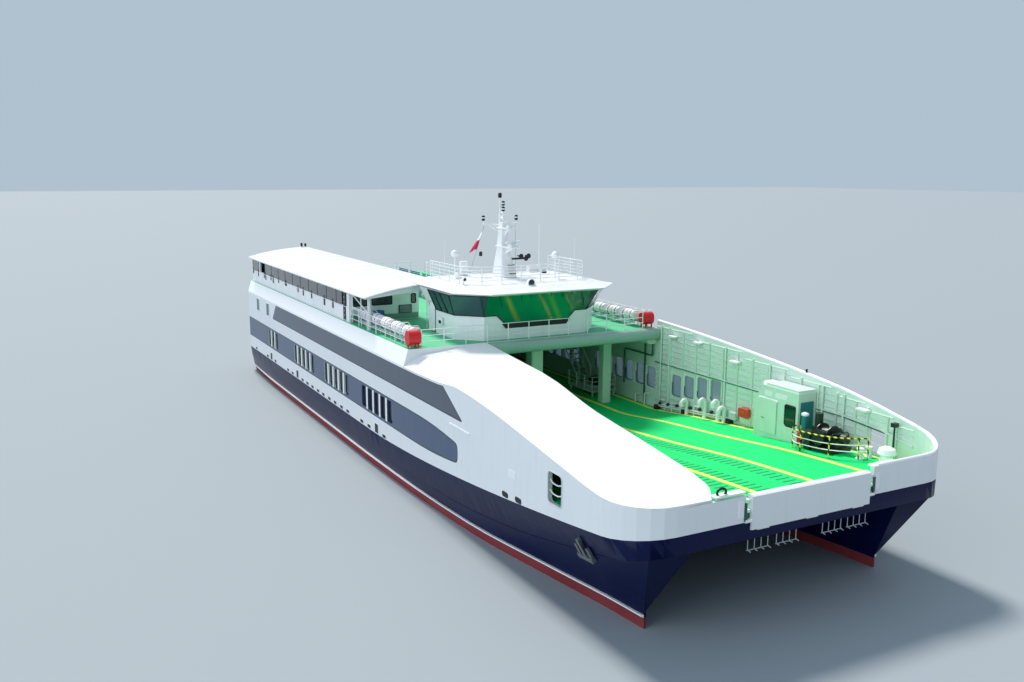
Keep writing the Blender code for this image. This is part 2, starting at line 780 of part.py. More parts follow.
def casing():
    """The starboard casing's wide roof and the wall that carries its inner edge."""
    sections = []
    for x in side_stations(DECK_FRONT_X + GAP, BOW_X):
        outer_y, outer_z = -half_width(x), along(CREASE, x)
        inner_y, inner_z = -along(CASING_EDGE, x), along(CASING_EDGE, x, 2)
        shoulder_y = outer_y + (inner_y - outer_y) * 0.22
        shoulder_z = outer_z + (inner_z - outer_z) * 0.62
        sections.append(
            [
                (x, outer_y, outer_z - ROOF_PLATE),
                (x, outer_y, outer_z),
                (x, shoulder_y, shoulder_z),
                (x, inner_y, inner_z),
                (x, inner_y, inner_z - ROOF_PLATE),
                (x, shoulder_y, shoulder_z - ROOF_PLATE),
            ]
        )
    obj = new_object("casing_starboard", loft(sections), WHITE)
    wall_sections = []
    for x in side_stations(DECK_FRONT_X + GAP, BOW_X - SIDE_PLATE - 2 * GAP, SIDE_PLATE):
        y = -along(CASING_EDGE, x)
        z, foot = along(CASING_EDGE, x, 2) - 0.4 * ROOF_PLATE, deck_z(x) + GAP
        y_out = y - CASING_WALL
        wall_sections.append([(x, y - 0.0005, foot), (x, y - 0.0005, z), (x, y_out, z), (x, y_out, foot)])
    return combine(obj, [loft(wall_sections)], "UNION")


def stern_frame():
    """The plating above the stern ramp, between the two side walls."""
    reach = RAMP_OPENING_HALF - GAP
    foot = VEHICLE_DECK_Z + RAMP_TALL + RUNNING
    return new_object(
        "stern_header",
        box((STERN_X, -reach, foot), (STERN_X + SIDE_PLATE, reach, CREASE_Z - ROOF_PLATE - GAP)),
        WHITE,
    )


def stern_ramp():
    """The ramp stands closed across the stern opening and lowers aft about its foot."""
    frame = pivot("stern_ramp_pivot", (RAMP_HINGE_X, 0, RAMP_HINGE_Z))
    back, front = -RAMP_THICK / 2, RAMP_THICK / 2
    lift = 1.6 * HINGE_RADIUS
    top = VEHICLE_DECK_Z + RAMP_TALL - RAMP_HINGE_Z
    outline = [(back, 0.0), (0.0, 0.0), (0.0, lift), (front, lift), (front, top), (back, top)]
    reach = RAMP_HALF_WIDE + RAMP_OVERLAP
    obj = new_object("stern_ramp", prism(outline, -reach, reach, "Y"), WHITE, frame)
    tubes = [cylinder((0, y - half, 0), (0, y + half, 0), HINGE_RADIUS, 12) for y, half in RAMP_HINGES]
    return combine(obj, tubes, "UNION")


def ramp_bearings():
    """Blocks on the stern, just clear of the ramp's hinge tubes."""
    face, root = RAMP_HINGE_X + HINGE_RADIUS + GAP, STERN_X + 1.5 * SIDE_PLATE
    low, high = RAMP_HINGE_Z - HINGE_RADIUS, RAMP_HINGE_Z + 0.4 * HINGE_RADIUS
    return [box((face, y - half, low), (root, y + half, high)) for y, half in RAMP_HINGES]


def passenger_deck():
    """The slab with its chamfered edge, from the stern to the straight front edge."""
    sections = []
    for x in side_stations(STERN_X, DECK_FRONT_X):
        y = half_width(x)
        sections.append(
            [
                (x, y, CREASE_Z - ROOF_PLATE),
                (x, y, CREASE_Z),
                (x, y - 0.3 * M, PASSENGER_DECK_Z),
                (x, -y + 0.3 * M, PASSENGER_DECK_Z),
                (x, -y, CREASE_Z),
                (x, -y, CREASE_Z - ROOF_PLATE),
                (x, -y + 0.7 * M, CREASE_Z - ROOF_PLATE),
                (x, -y + 1.1 * M, PASSENGER_DECK_Z - SLAB_THICK),
                (x, y - 1.1 * M, PASSENGER_DECK_Z - SLAB_THICK),
                (x, y - 0.7 * M, CREASE_Z - ROOF_PLATE),
            ]
        )
    return new_object("passenger_deck", loft(sections), GREEN)


def front_girder():
    """The rounded girder under the passenger deck's front edge."""
    low, high = PASSENGER_DECK_Z - GIRDER_DEEP, PASSENGER_DECK_Z - 0.02 * M
    mid, radius = (low + high) / 2, (high - low) / 2
    back = DECK_FRONT_X + GAP
    nose = back + GIRDER_WIDE - radius * 0.6
    outline = [(back, low), (back, high)]
    for i in range(9):
        angle = math.pi / 2 - math.pi * i / 8
        outline.append((nose + 0.6 * radius * math.cos(angle), mid + radius * math.sin(angle)))
    start = -along(CASING_EDGE, DECK_FRONT_X) + 0.1 * M
    end = HALF_BEAM - SIDE_PLATE - GAP
    return new_object("front_girder", prism(outline, start, end, "Y"), PALE_GREEN)


def pillar(name, place, wide):
    x, y = place
    foot, top = deck_surface(x + wide / 2) + GAP, PASSENGER_DECK_Z - SLAB_THICK - GAP
    outline = rounded((x - wide / 2, y - wide / 2), (x + wide / 2, y + wide / 2), wide * 0.15, 2)
    return new_object(name, prism(outline, foot, top, "Z"), PALE_GREEN)


def roof_underside(y):
    """The height of the aft roof's flat underside, which rises inboard."""
    return AFT_ROOF_Z + ROOF_RISE * (y - ROOF_OUTER_Y) / (ROOF_INNER_Y - ROOF_OUTER_Y)


def aft_house():
    """A ring of house walls on the starboard half, with its band of lights, front lights and a side door."""
    foot = PASSENGER_DECK_Z + GAP
    corners = [
        (HOUSE_AFT_X, HOUSE_OUTER_Y),
        (HOUSE_FRONT_X, HOUSE_OUTER_Y),
        (HOUSE_FRONT_X, HOUSE_INNER_Y),
        (HOUSE_AFT_X, HOUSE_INNER_Y),
    ]
    sign = [(1, 1), (-1, 1), (-1, -1), (1, -1)]
    inner = [(x + HOUSE_WALL * a, y + HOUSE_WALL * b) for (x, y), (a, b) in zip(corners, sign)]
    levels = [([(x, y, foot) for x, y in corners], [(x, y, foot) for x, y in inner])]
    levels.append(tuple([(x, y, roof_underside(y) - GAP) for x, y in ring] for ring in (corners, inner)))
    obj = new_object("aft_house", ring_loft(levels), WHITE)
    cutters = []
    low, high = HOUSE_OUTER_Y - HOUSE_WALL, HOUSE_INNER_Y + HOUSE_WALL
    pitch = (HOUSE_FRONT_X - HOUSE_AFT_X - 2 * BAND_POST) / BAND_LIGHTS
    for i in range(BAND_LIGHTS):
        x = HOUSE_AFT_X + BAND_POST + pitch * i + BAND_POST / 2
        cutters.append(box((x, low, BAND_Z), (x + pitch - BAND_POST, high, BAND_Z + BAND_TALL)))
    back, front = HOUSE_FRONT_X - 2 * HOUSE_WALL, HOUSE_FRONT_X + HOUSE_WALL
    for y, wide in HOUSE_FRONT_LIGHTS:
        cutters.append(box((back, y, BAND_Z), (front, y + wide, BAND_Z + 0.75 * BAND_TALL)))
    start, end = HOUSE_DOOR_X, HOUSE_DOOR_X + HOUSE_DOOR_WIDE
    inside = HOUSE_INNER_Y - 2 * HOUSE_WALL
    cutters.append(box((start, inside, foot - 2 * GAP), (end, high, foot + HOUSE_DOOR_TALL)))
    return combine(obj, cutters, "DIFFERENCE")


def aft_roof():
    """The arched roof over the aft house and the open seats forward of it, highest at its inboard edge."""
    sections = []
    for x in (ROOF_AFT_X, ROOF_FRONT_X):
        under = [(y, roof_underside(y)) for y in (ROOF_OUTER_Y, ROOF_INNER_Y)]
        steps = [i / ROOF_FACETS for i in range(ROOF_FACETS + 1)]
        over = [
            (ROOF_INNER_Y + (ROOF_OUTER_Y - ROOF_INNER_Y) * t, AFT_ROOF_Z + ROOF_THICK + ROOF_ARCH * (1 - t * t))
            for t in steps
        ]
        sections.append([(x, y, z) for y, z in under + over])
    return new_object("aft_roof", loft(sections), WHITE)


def roof_post(name, y):
    x, half = POST_X, POST_SIZE / 2
    top = roof_underside(y - half) - GAP
    return new_object(name, box((x - half, y - half, PASSENGER_DECK_Z + GAP), (x + half, y + half, top)), WHITE)


def wheelhouse_outline(grow, z):
    """The wheelhouse's plan at one height, grown outwards at its front and sides."""
    front, side, cut = WHEELHOUSE_FRONT_X + grow, WHEELHOUSE_HALF + grow, WHEELHOUSE_CHAMFER
    aft = WHEELHOUSE_AFT_X + max(0.0, -grow)
    half = [(aft, side), (front - cut, side), (front, side - cut)]
    points = [(x, -y) for x, y in half] + [(x, y) for x, y in reversed(half)]
    return [(x, y, z) for x, y in points]


def front_panes():
    """Each front window as (lower y, upper y, sill height), the middle ones dropped into the notch."""
    span = 2 * (WHEELHOUSE_HALF - WHEELHOUSE_CHAMFER)
    pane = span / WINDOW_PANES_FRONT
    panes = []
    for i in range(WINDOW_PANES_FRONT):
        y = -span / 2 + pane * i
        drop = NOTCH_DROP if abs(2 * i - WINDOW_PANES_FRONT + 1) < NOTCH_PANES else 0.0
        panes.append((y + MULLION / 2, y + pane - MULLION / 2, SILL_Z + SILL_BAND - drop))
    return panes


def side_panes():
    """Each side window's (lower x, upper x)."""
    start = WHEELHOUSE_AFT_X + WHEELHOUSE_DOOR_BAY
    pane = (WHEELHOUSE_FRONT_X - WHEELHOUSE_CHAMFER - start) / WINDOW_PANES_SIDE
    spots = [start + pane * i for i in range(WINDOW_PANES_SIDE)]
    return [(x + MULLION / 2, x + pane - MULLION / 2) for x in spots]


def corner_pane(side, low, high):
    """A cutter square to the chamfered corner."""
    middle = WHEELHOUSE_CHAMFER / 2
    centre = Vector((WHEELHOUSE_FRONT_X - middle, side * (WHEELHOUSE_HALF - middle)))
    out, across = Vector((1, side)).normalized(), Vector((-side, 1)).normalized()
    half = WHEELHOUSE_CHAMFER * math.sqrt(0.5) - MULLION
    inner, outer = -3 * HOUSE_WALL, 2 * WINDOW_RAKE
    reaches = ((inner, -half), (outer, -half), (outer, half), (inner, half))
    corners = [centre + out * a + across * b for a, b in reaches]
    return prism([(c.x, c.y) for c in corners], low, high, "Z")


def wheelhouse_walls():
    """The hollow wheelhouse, upright to the sill and raked outwards above it."""
    levels = []
    for grow, z in ((0.0, PASSENGER_DECK_Z + GAP), (0.0, SILL_Z), (WINDOW_RAKE, EAVES_Z - GAP)):
        levels.append((wheelhouse_outline(grow, z), wheelhouse_outline(grow - HOUSE_WALL, z)))
    obj = new_object("wheelhouse_walls", ring_loft(levels), WHITE)
    low, high = SILL_Z + SILL_BAND, EAVES_Z - SILL_BAND
    back, front = WHEELHOUSE_FRONT_X - 3 * HOUSE_WALL, WHEELHOUSE_FRONT_X + 2 * WINDOW_RAKE
    cutters = [box((back, start, foot), (front, end, high)) for start, end, foot in front_panes()]
    for side in (-1, 1):
        inner, outer = side * (WHEELHOUSE_HALF - 3 * HOUSE_WALL), side * (WHEELHOUSE_HALF + 2 * WINDOW_RAKE)
        y = sorted((inner, outer))
        cutters += [box((start, y[0], low), (end, y[1], high)) for start, end in side_panes()]
        cutters.append(corner_pane(side, low, high))
        start, foot = WHEELHOUSE_AFT_X + WHEELHOUSE_DOOR_POST, PASSENGER_DECK_Z - GAP
        head = PASSENGER_DECK_Z + WHEELHOUSE_DOOR_TALL
        cutters.append(box((start, y[0], foot), (start + WHEELHOUSE_DOOR_WIDE, y[1], head)))
    return combine(obj, cutters, "DIFFERENCE")


def wheelhouse_glazing():
    """The tinted glass behind the front and side window frames."""
    z_low, z_high = SILL_Z - NOTCH_DROP - 0.05 * M, EAVES_Z - 2 * GAP

    def grow_at(z):
        return WINDOW_RAKE * max(0.0, (z - SILL_Z) / (EAVES_Z - SILL_Z))

    def plan(z, inset):
        grow = grow_at(z) - inset
        front, side, cut = WHEELHOUSE_FRONT_X + grow, WHEELHOUSE_HALF + grow, WHEELHOUSE_CHAMFER
        aft = WHEELHOUSE_AFT_X + WHEELHOUSE_DOOR_BAY - MULLION / 2
        half = [(aft, side), (front - cut, side), (front, side - cut)]
        return [(x, -y, z) for x, y in half] + [(x, y, z) for x, y in reversed(half)]

    builder = bmesh.new()
    clear = HOUSE_WALL + 2 * GAP
    levels = (z_low, SILL_Z, z_high)
    outer = [[builder.verts.new(p) for p in plan(z, clear)] for z in levels]
    inner = [[builder.verts.new(p) for p in plan(z, clear + GLASS)] for z in levels]
    count = len(outer[0])
    for rings in (outer, inner):
        for one, two in zip(rings, rings[1:]):
            for i in range(count - 1):
                builder.faces.new((one[i], one[i + 1], two[i + 1], two[i]))
    for k in (0, -1):
        for i in range(count - 1):
            builder.faces.new((outer[k][i], outer[k][i + 1], inner[k][i + 1], inner[k][i]))
    for i in (0, -1):
        for k in range(len(levels) - 1):
            builder.faces.new((outer[k][i], outer[k + 1][i], inner[k + 1][i], inner[k][i]))
    return new_object("wheelhouse_glazing", builder, TINTED_GLASS)


def wheelhouse_roof():
    """The overhanging roof, bevelled up to the flat top that carries the mast."""
    def plan(z, inset):
        front, side = WHEELHOUSE_ROOF_FRONT_X - inset, WHEELHOUSE_ROOF_HALF - inset
        aft, cut = WHEELHOUSE_ROOF_AFT_X, WHEELHOUSE_ROOF_CHAMFER
        half = [(aft, side), (front - cut, side), (front, side - cut)]
        return [(x, -y, z) for x, y in half] + [(x, y, z) for x, y in reversed(half)]

    edge = EAVES_Z + 0.12 * M
    top = EAVES_Z + WHEELHOUSE_ROOF_THICK
    levels = ((EAVES_Z, 0.25 * M), (edge - 0.04 * M, 0.0), (edge, 0.0), (top, WHEELHOUSE_ROOF_BEVEL))
    sections = [plan(z, inset) for z, inset in levels]
    return new_object("wheelhouse_roof", loft(sections), WHITE)


def radar_x(z, long):
    """Where a scanner turns, so far forward that its bar just passes the mast."""
    share = (z - MAST_WAIST_Z) / (MAST_NECK_Z - MAST_WAIST_Z)
    mast_long = MAST_WAIST + share * (MAST_NECK - MAST_WAIST)
    return TRUNK_X + mast_long / 2 + long / 2 + RADAR_CLEAR


def mast():
    """The tapered trunk with its radar platforms, and the pole and spreader aft of it."""
    foot_z = EAVES_Z + WHEELHOUSE_ROOF_THICK + GAP
    sections = []
    for long, z in ((MAST_FOOT, foot_z), (MAST_WAIST, MAST_WAIST_Z), (MAST_NECK, MAST_NECK_Z)):
        half = long / 2
        wide = MAST_NARROW * half
        ring = rounded((TRUNK_X - half, -wide), (TRUNK_X + half, wide), 0.3 * half, 2)
        sections.append([(x, y, z) for x, y in ring])
    obj = new_object("mast", loft(sections), WHITE)
    parts = []
    for x, z, half, radius in (
        (radar_x(RADAR_LOW_Z, RADAR_LONG), RADAR_LOW_Z, 0.42 * M, 0.13 * M),
        (radar_x(RADAR_HIGH_Z, RADAR_HIGH_LONG), RADAR_HIGH_Z, 0.34 * M, 0.11 * M),
    ):
        top = z - RADAR_PEDESTAL
        low, high = (MAST_X, -half, top - RADAR_PLATE), (x + half, half, top)
        parts += [box(low, high), cylinder((x, 0, top - RADAR_PLATE / 2), (x, 0, z), radius, 12)]
    half, low, high = SPREADER_THICK / 2, SPREADER_Z - SPREADER_THICK, SPREADER_Z
    parts.append(box((MAST_X - half, -SPREADER_HALF, low), (MAST_X + half, SPREADER_HALF, high)))
    parts.append(cylinder((MAST_X, 0, foot_z), (MAST_X, 0, MAST_TOP_Z), MAST_POLE, 10))
    for y in (-SPREADER_HALF + 0.1 * M, SPREADER_HALF - 0.1 * M):
        foot, top = (MAST_X, y, (low + high) / 2), (MAST_X, y, high + 0.42 * M)
        parts.append(cylinder(foot, top, 0.09 * M, 10))
    return combine(obj, parts, "UNION")


def radar(name, z, long, turn=0.0):
    """A scanner bar that turns on its pedestal."""
    frame = pivot(f"{name}_pivot", (radar_x(z, long), 0, z + GAP))
    frame.rotation_euler.z = turn
    half = long / 2
    outline = rounded((-0.09 * M, -half), (0.09 * M, half), 0.05 * M, 2)
    return new_object(name, prism(outline, 0.0, 0.14 * M, "Z"), WHITE, frame)


def liferafts(side):
    """A row of raft canisters on one cradle beside the passenger deck's edge."""
    y = side * RAFT_Y
    foot = PASSENGER_DECK_Z + GAP
    centre = foot + 0.34 * M + RAFT_RADIUS
    length = RAFT_PITCH * (RAFT_COUNT - 1) + RAFT_LONG
    start = RED_BOX_X - RED_BOX_WIDE / 2 - RAFT_TO_BOX - length
    cradle = box((start, y - 0.22 * M, foot + 0.26 * M), (start + length, y + 0.22 * M, foot + 0.42 * M))
    obj = new_object(f"liferafts_{side_name(side)}", cradle, WHITE)
    parts = []
    for i in range(RAFT_COUNT):
        x = start + RAFT_PITCH * i
        parts.append(cylinder((x, y, centre), (x + RAFT_LONG, y, centre), RAFT_RADIUS, 14))
        for leg in (x + 0.2 * RAFT_LONG, x + 0.8 * RAFT_LONG):
            low, high = (leg - 0.05 * M, y - 0.2 * M, foot), (leg + 0.05 * M, y + 0.2 * M, foot + 0.3 * M)
            parts.append(box(low, high))
    return combine(obj, parts, "UNION")


def red_box(side):
    """The red lamp box at the passenger deck's front corner, seen as a bright drum."""
    x, y = RED_BOX_X, side * RED_BOX_Y
    foot = PASSENGER_DECK_Z + GAP
    half = RED_BOX_WIDE / 2
    low = foot + 0.25 * M
    outline = rounded((x - half, low), (x + half * 0.6, low + RED_BOX_WIDE), 0.2 * M, 3)
    obj = new_object(f"red_box_{side_name(side)}", prism(outline, y - half, y + half, "Y"), RED)
    legs = [
        box((x - half * 0.6, y + dy - 0.04 * M, foot), (x + half * 0.2, y + dy + 0.04 * M, foot + 0.35 * M))
        for dy in (-0.2 * M, 0.2 * M)
    ]
    return combine(obj, legs, "UNION")


def cabin_sill():
    return deck_z(CABIN_FRONT_X) + CABIN_SILL


def control_cabin():
    """The hollow cabin against the port wall, with a chamfered aft top, a doorway and a hatch."""
    foot = deck_surface(CABIN_FRONT_X) + GAP
    outer = HALF_BEAM - SIDE_PLATE - FRAME_DEEP - 2 * GAP
    top = foot + CABIN_TALL

    def shell(inset, sink):
        aft, front = CABIN_AFT_X + inset, CABIN_FRONT_X - inset
        outline = [(x, z - sink) for x, z in deck_line(aft, front)]
        outline += [
            (front, top - inset),
            (aft + CABIN_CHAMFER, top - inset),
            (aft, top - inset - CABIN_CHAMFER),
        ]
        return prism(outline, CABIN_Y + inset, outer - inset, "Y")

    obj = new_object("control_cabin", shell(0.0, 0.0), PALE_GREEN)
    low, high = CABIN_Y - CABIN_WALL, CABIN_Y + 2 * CABIN_WALL
    sill, hatch_top = cabin_sill(), cabin_sill() + CABIN_DOOR_TALL + CABIN_DOOR_LAP
    hatch_x = CABIN_FRONT_X - 2 * CABIN_WALL - CABIN_HATCH_WIDE
    doorway = box((CABIN_DOOR_X, low, sill), (CABIN_DOOR_X + CABIN_DOOR_WIDE, high, sill + CABIN_DOOR_TALL))
    hatch = box((hatch_x, low, hatch_top - CABIN_HATCH_TALL), (hatch_x + CABIN_HATCH_WIDE, high, hatch_top))
    return combine(obj, [shell(CABIN_WALL, 2 * CABIN_WALL), doorway, hatch], "DIFFERENCE")


def cabin_door():
    """The door hangs on its forward edge and opens outwards, towards the lanes."""
    hinge_x = CABIN_DOOR_X + CABIN_DOOR_WIDE + CABIN_DOOR_LAP / 2
    frame = pivot("cabin_door_pivot", (hinge_x, CABIN_Y - CABIN_DOOR_THICK, cabin_sill()))
    wide, half = CABIN_DOOR_WIDE + 2 * CABIN_DOOR_LAP, CABIN_DOOR_THICK / 2
    panel = box((-wide, -half, -CABIN_DOOR_LAP), (0.0, half, CABIN_DOOR_TALL + CABIN_DOOR_LAP))
    obj = new_object("control_cabin_door", panel, PALE_GREEN, frame)
    pin = cylinder((0, 0, 0), (0, 0, CABIN_DOOR_TALL), CABIN_DOOR_THICK - GAP, 12)
    return combine(obj, [pin], "UNION")


def windlass():
    """The mooring windlass: bed, drums on a shaft, gearbox and motor."""
    x, y = WINDLASS_X, WINDLASS_Y
    foot = deck_surface(x + 0.9 * M) + GAP
    bed = box((x - 0.9 * M, y - 0.7 * M, foot), (x + 0.9 * M, y + 0.7 * M, foot + 0.22 * M))
    obj = new_object("windlass", bed, DARK)
    axle = foot + 0.75 * M
    parts = [
        cylinder((x - 0.75 * M, y, axle), (x + 1.25 * M, y, axle), 0.1 * M, 12),
        cylinder((x - 0.3 * M, y, axle), (x + 0.35 * M, y, axle), 0.36 * M, 16),
        cylinder((x - 0.36 * M, y, axle), (x - 0.3 * M, y, axle), 0.52 * M, 16),
        cylinder((x + 0.35 * M, y, axle), (x + 0.41 * M, y, axle), 0.52 * M, 16),
        cylinder((x + 0.95 * M, y, axle), (x + 1.25 * M, y, axle), 0.24 * M, 14),
        box((x - 0.75 * M, y - 0.3 * M, foot + 0.1 * M), (x - 0.45 * M, y + 0.3 * M, axle + 0.3 * M)),
        box((x + 0.55 * M, y - 0.25 * M, foot + 0.1 * M), (x + 0.8 * M, y + 0.25 * M, axle + 0.2 * M)),
        cylinder((x - 0.6 * M, y, axle), (x - 0.6 * M, y, axle + 0.95 * M), 0.2 * M, 14),
    ]
    return combine(obj, parts, "UNION")


def windlass_guard():
    """The curved guard rail round the windlass, from the cabin to the port wall."""
    aft_x, fore_x = GUARD_X + GUARD_AFT_RADIUS, GUARD_X + GUARD_AFT_RADIUS + GUARD_STRAIGHT
    inboard_y = WINDLASS_Y - GUARD_AFT_RADIUS
    path = []
    for centre_x, radius, start, turn in (
        (aft_x, GUARD_AFT_RADIUS, 180, 90),
        (fore_x, GUARD_FORE_RADIUS, 270, 70),
    ):
        for i in range(5):
            angle = math.radians(start + turn * i / 4)
            path.append((centre_x + radius * math.cos(angle), inboard_y + radius * (1 + math.sin(angle))))
    lattice = railing(path, 0.0, pitch=GUARD_POST_PITCH, slope=lambda x: deck_surface(x + RAIL_BAR) + GAP)
    return new_object("windlass_guard", lattice, STEEL)


def capstan():
    x, y = CAPSTAN_X, CAPSTAN_Y
    foot = deck_surface(x + CAPSTAN_RADIUS) + GAP
    levels = ((0.0, 1.0), (0.12, 1.0), (0.2, 0.7), (0.5, 0.6), (0.62, 0.95), (0.85, 0.8), (0.95, 0.35))
    sections = []
    for rise, size in levels:
        ring = [
            (
                x + CAPSTAN_RADIUS * size * math.cos(2 * math.pi * i / 16),
                y + CAPSTAN_RADIUS * size * math.sin(2 * math.pi * i / 16),
                foot + rise * M,
            )
            for i in range(16)
        ]
        sections.append(ring)
    return new_object("capstan", loft(sections), WHITE)


def frame_places():
    """Where the port wall's uprights stand: between the lights, and at both sides of the doorway."""
    first, last = FRAMES_START_X, BOW_X - BOW_RADIUS - 0.2 * M
    doorway = BOARDING_DOORWAYS[1]
    clear = BOARDING_WIDE / 2 + FRAME_WIDE
    places = [doorway - clear, doorway + clear - FRAME_WIDE]
    lights_x = PORT_LIGHTS[-1][0] - (PORT_LIGHT_PITCH - PORT_LIGHT_WIDE + FRAME_WIDE) / 2
    x = lights_x
    while x < last - FRAME_WIDE:
        if x > first and abs(x + FRAME_WIDE / 2 - doorway) > clear + FRAME_WIDE:
            places.append(x)
        x += PORT_LIGHT_PITCH
    return sorted(places)


def port_frames():
    """The stringer and upright frames on the inside of the open port wall."""
    face = HALF_BEAM - SIDE_PLATE - GAP
    back = face - FRAME_DEEP
    lower = []
    for x in stations(FRAMES_START_X, BOW_X - BOW_RADIUS - 0.2 * M, 2.0 * M):
        z = min(STRINGER_Z, along(PORT_RIM, x) - 1.0 * M)
        lower.append([(x, back, z), (x, back, z + FRAME_WIDE), (x, face, z + FRAME_WIDE), (x, face, z)])
    obj = new_object("port_wall_frames", loft(lower), PALE_GREEN)
    uprights = []
    for x in frame_places():
        foot, top = deck_surface(x + FRAME_WIDE) + GAP, along(PORT_RIM, x) - 0.25 * M
        uprights.append(box((x, back + 0.01 * M, foot), (x + FRAME_WIDE, face, top)))
    return combine(obj, uprights, "UNION")


def spray_rail(side):
    """The pale rail where the topsides meet the water, on the outer skin."""
    size = SPRAY_RAIL_SIZE
    sections = []
    for x in hull_stations():
        y = HULL_CENTRE_Y + along(HULL_LINES, x) + 2 * GAP
        sections.append(
            [
                (x, side * y, SPRAY_RAIL_Z - size),
                (x, side * (y + size), SPRAY_RAIL_Z - size / 2),
                (x, side * (y + size), SPRAY_RAIL_Z),
                (x, side * y, SPRAY_RAIL_Z),
            ]
        )
    return new_object(f"spray_rail_{side_name(side)}", loft(sections), WHITE)


def hull_stations():
    return stations(HULL_LINES[0][0], HULL_LINES[-1][0], 1.6 * M, [row[0] for row in HULL_LINES])


def keel_z(x, reach=0.0):
    """The lowest height of a hull's bottom within reach of x: its plates run straight between stations."""
    run = hull_stations()
    found = []
    for spot in (x - reach, x + reach):
        for a, b in zip(run, run[1:]):
            if a <= spot <= b:
                low, high = along(HULL_LINES, a, 2), along(HULL_LINES, b, 2)
                found.append(low + (high - low) * (spot - a) / (b - a))
    return min(found)


def shaft(side):
    """The propeller shaft in its bracket, from the hull's bottom to the propeller."""
    y = side * HULL_CENTRE_Y
    start = PROPELLER_X + 0.25 * M + GAP
    end = start + SHAFT_LONG
    obj = new_object(
        f"shaft_{side_name(side)}",
        cylinder((start, y, PROPELLER_Z), (end, y, PROPELLER_Z), SHAFT_RADIUS, 14),
        STEEL,
    )
    strut_x = start + 0.25 * M
    top = keel_z(strut_x + 0.15 * M, 0.15 * M) - GAP
    strut = box((strut_x, y - 0.05 * M, PROPELLER_Z), (strut_x + 0.3 * M, y + 0.05 * M, top))
    aft, fore = (start + 0.1 * M, y, PROPELLER_Z), (start + 0.7 * M, y, PROPELLER_Z)
    barrel = cylinder(aft, fore, SHAFT_RADIUS * 1.9, 14)
    return combine(obj, [strut, barrel], "UNION")


def propeller(side):
    """A four-bladed propeller around its hub."""
    frame = pivot(f"propeller_{side_name(side)}_pivot", (PROPELLER_X, side * HULL_CENTRE_Y, PROPELLER_Z))
    hub = cylinder((-0.3 * M, 0, 0), (0.25 * M, 0, 0), 0.1 * M, 14, 0.16 * M)
    obj = new_object(f"propeller_{side_name(side)}", hub, BRONZE, frame)
    blades = []
    for i in range(BLADES):
        turn = 2 * math.pi * i / BLADES
        sections = []
        for radius, chord, pitch in ((0.06, 0.3, 55), (0.35, 0.5, 40), (0.6, 0.5, 30), (0.72, 0.24, 25)):
            reach = radius / 0.72 * PROPELLER_RADIUS
            lean = math.radians(pitch) * side
            ring = []
            for along_chord, across in ((-0.5, 0.0), (0.0, 0.035), (0.5, 0.0), (0.0, -0.035)):
                a, b = along_chord * chord * M, across * M
                px = a * math.sin(lean) + b * math.cos(lean)
                py = a * math.cos(lean) - b * math.sin(lean)
                ring.append(
                    (
                        px,
                        py * math.cos(turn) - reach * math.sin(turn),
                        py * math.sin(turn) + reach * math.cos(turn),
                    )
                )
            sections.append(ring)
        blades.append(loft(sections))
    return combine(obj, blades, "UNION")


def rudder(side):
    """A spade rudder that turns about its stock, behind the propeller."""
    frame = pivot(f"rudder_{side_name(side)}_pivot", (RUDDER_X, side * HULL_CENTRE_Y, 0))
    top = keel_z(RUDDER_X, STOCK_RADIUS) - GAP
    blade_top = keel_z(RUDDER_X, RUDDER_CHORD * 0.53) - 0.1 * M
    ahead, behind, half = 0.3 * RUDDER_CHORD, 0.7 * RUDDER_CHORD, 0.1 * M
    outline = [(ahead, 0.0), (ahead * 0.5, half), (-behind * 0.4, half * 0.6), (-behind, 0.01 * M)]
    outline += [(x, -y) for x, y in reversed(outline[1:])]
    blade = prism(outline, RUDDER_BOTTOM_Z, blade_top, "Z")
    obj = new_object(f"rudder_{side_name(side)}", blade, NAVY, frame)
    stock = cylinder((0, 0, blade_top - 0.05 * M), (0, 0, top), STOCK_RADIUS, 12)
    return combine(obj, [stock], "UNION")


def anchor(side):
    """A stockless anchor stowed flat on the flared bow, its shank's top seated on the skin."""
    skin = Vector((ANCHOR_X, flare_y(ANCHOR_X, ANCHOR_Z), ANCHOR_Z))
    above = Vector((ANCHOR_X, flare_y(ANCHOR_X, ANCHOR_Z + 1.0 * M), ANCHOR_Z + 1.0 * M))
    ahead = Vector((ANCHOR_X + 0.5 * M, flare_y(ANCHOR_X + 0.5 * M, ANCHOR_Z), ANCHOR_Z))
    up = (above - skin).normalized()
    out = up.cross(ahead - skin).normalized()
    out = out if out.y > 0 else -out
    fore = up.cross(out).normalized()

    def placed(low, high):
        builder = box(low, high)
        for vert in builder.verts:
            spot = skin + fore * vert.co.x + up * vert.co.z + out * vert.co.y
            vert.co = Vector((spot.x, side * spot.y, spot.z))
        return builder

    clear, thick = 0.05 * M, 0.14 * M
    shank = placed((-0.08 * M, clear, 0.0), (0.08 * M, clear + thick, 1.0 * M))
    obj = new_object(f"anchor_{side_name(side)}", shank, STEEL)
    parts = [
        placed((-0.5 * M, clear, -0.1 * M), (0.5 * M, clear + 1.3 * thick, 0.14 * M)),
        placed((-0.47 * M, clear, 0.0), (-0.29 * M, clear + 0.8 * thick, 0.6 * M)),
        placed((0.29 * M, clear, 0.0), (0.47 * M, clear + 0.8 * thick, 0.6 * M)),
        placed((-0.06 * M, ANCHOR_SEAT, 0.8 * M), (0.06 * M, clear + 0.5 * thick, 0.92 * M)),
    ]
    return combine(obj, parts, "UNION")


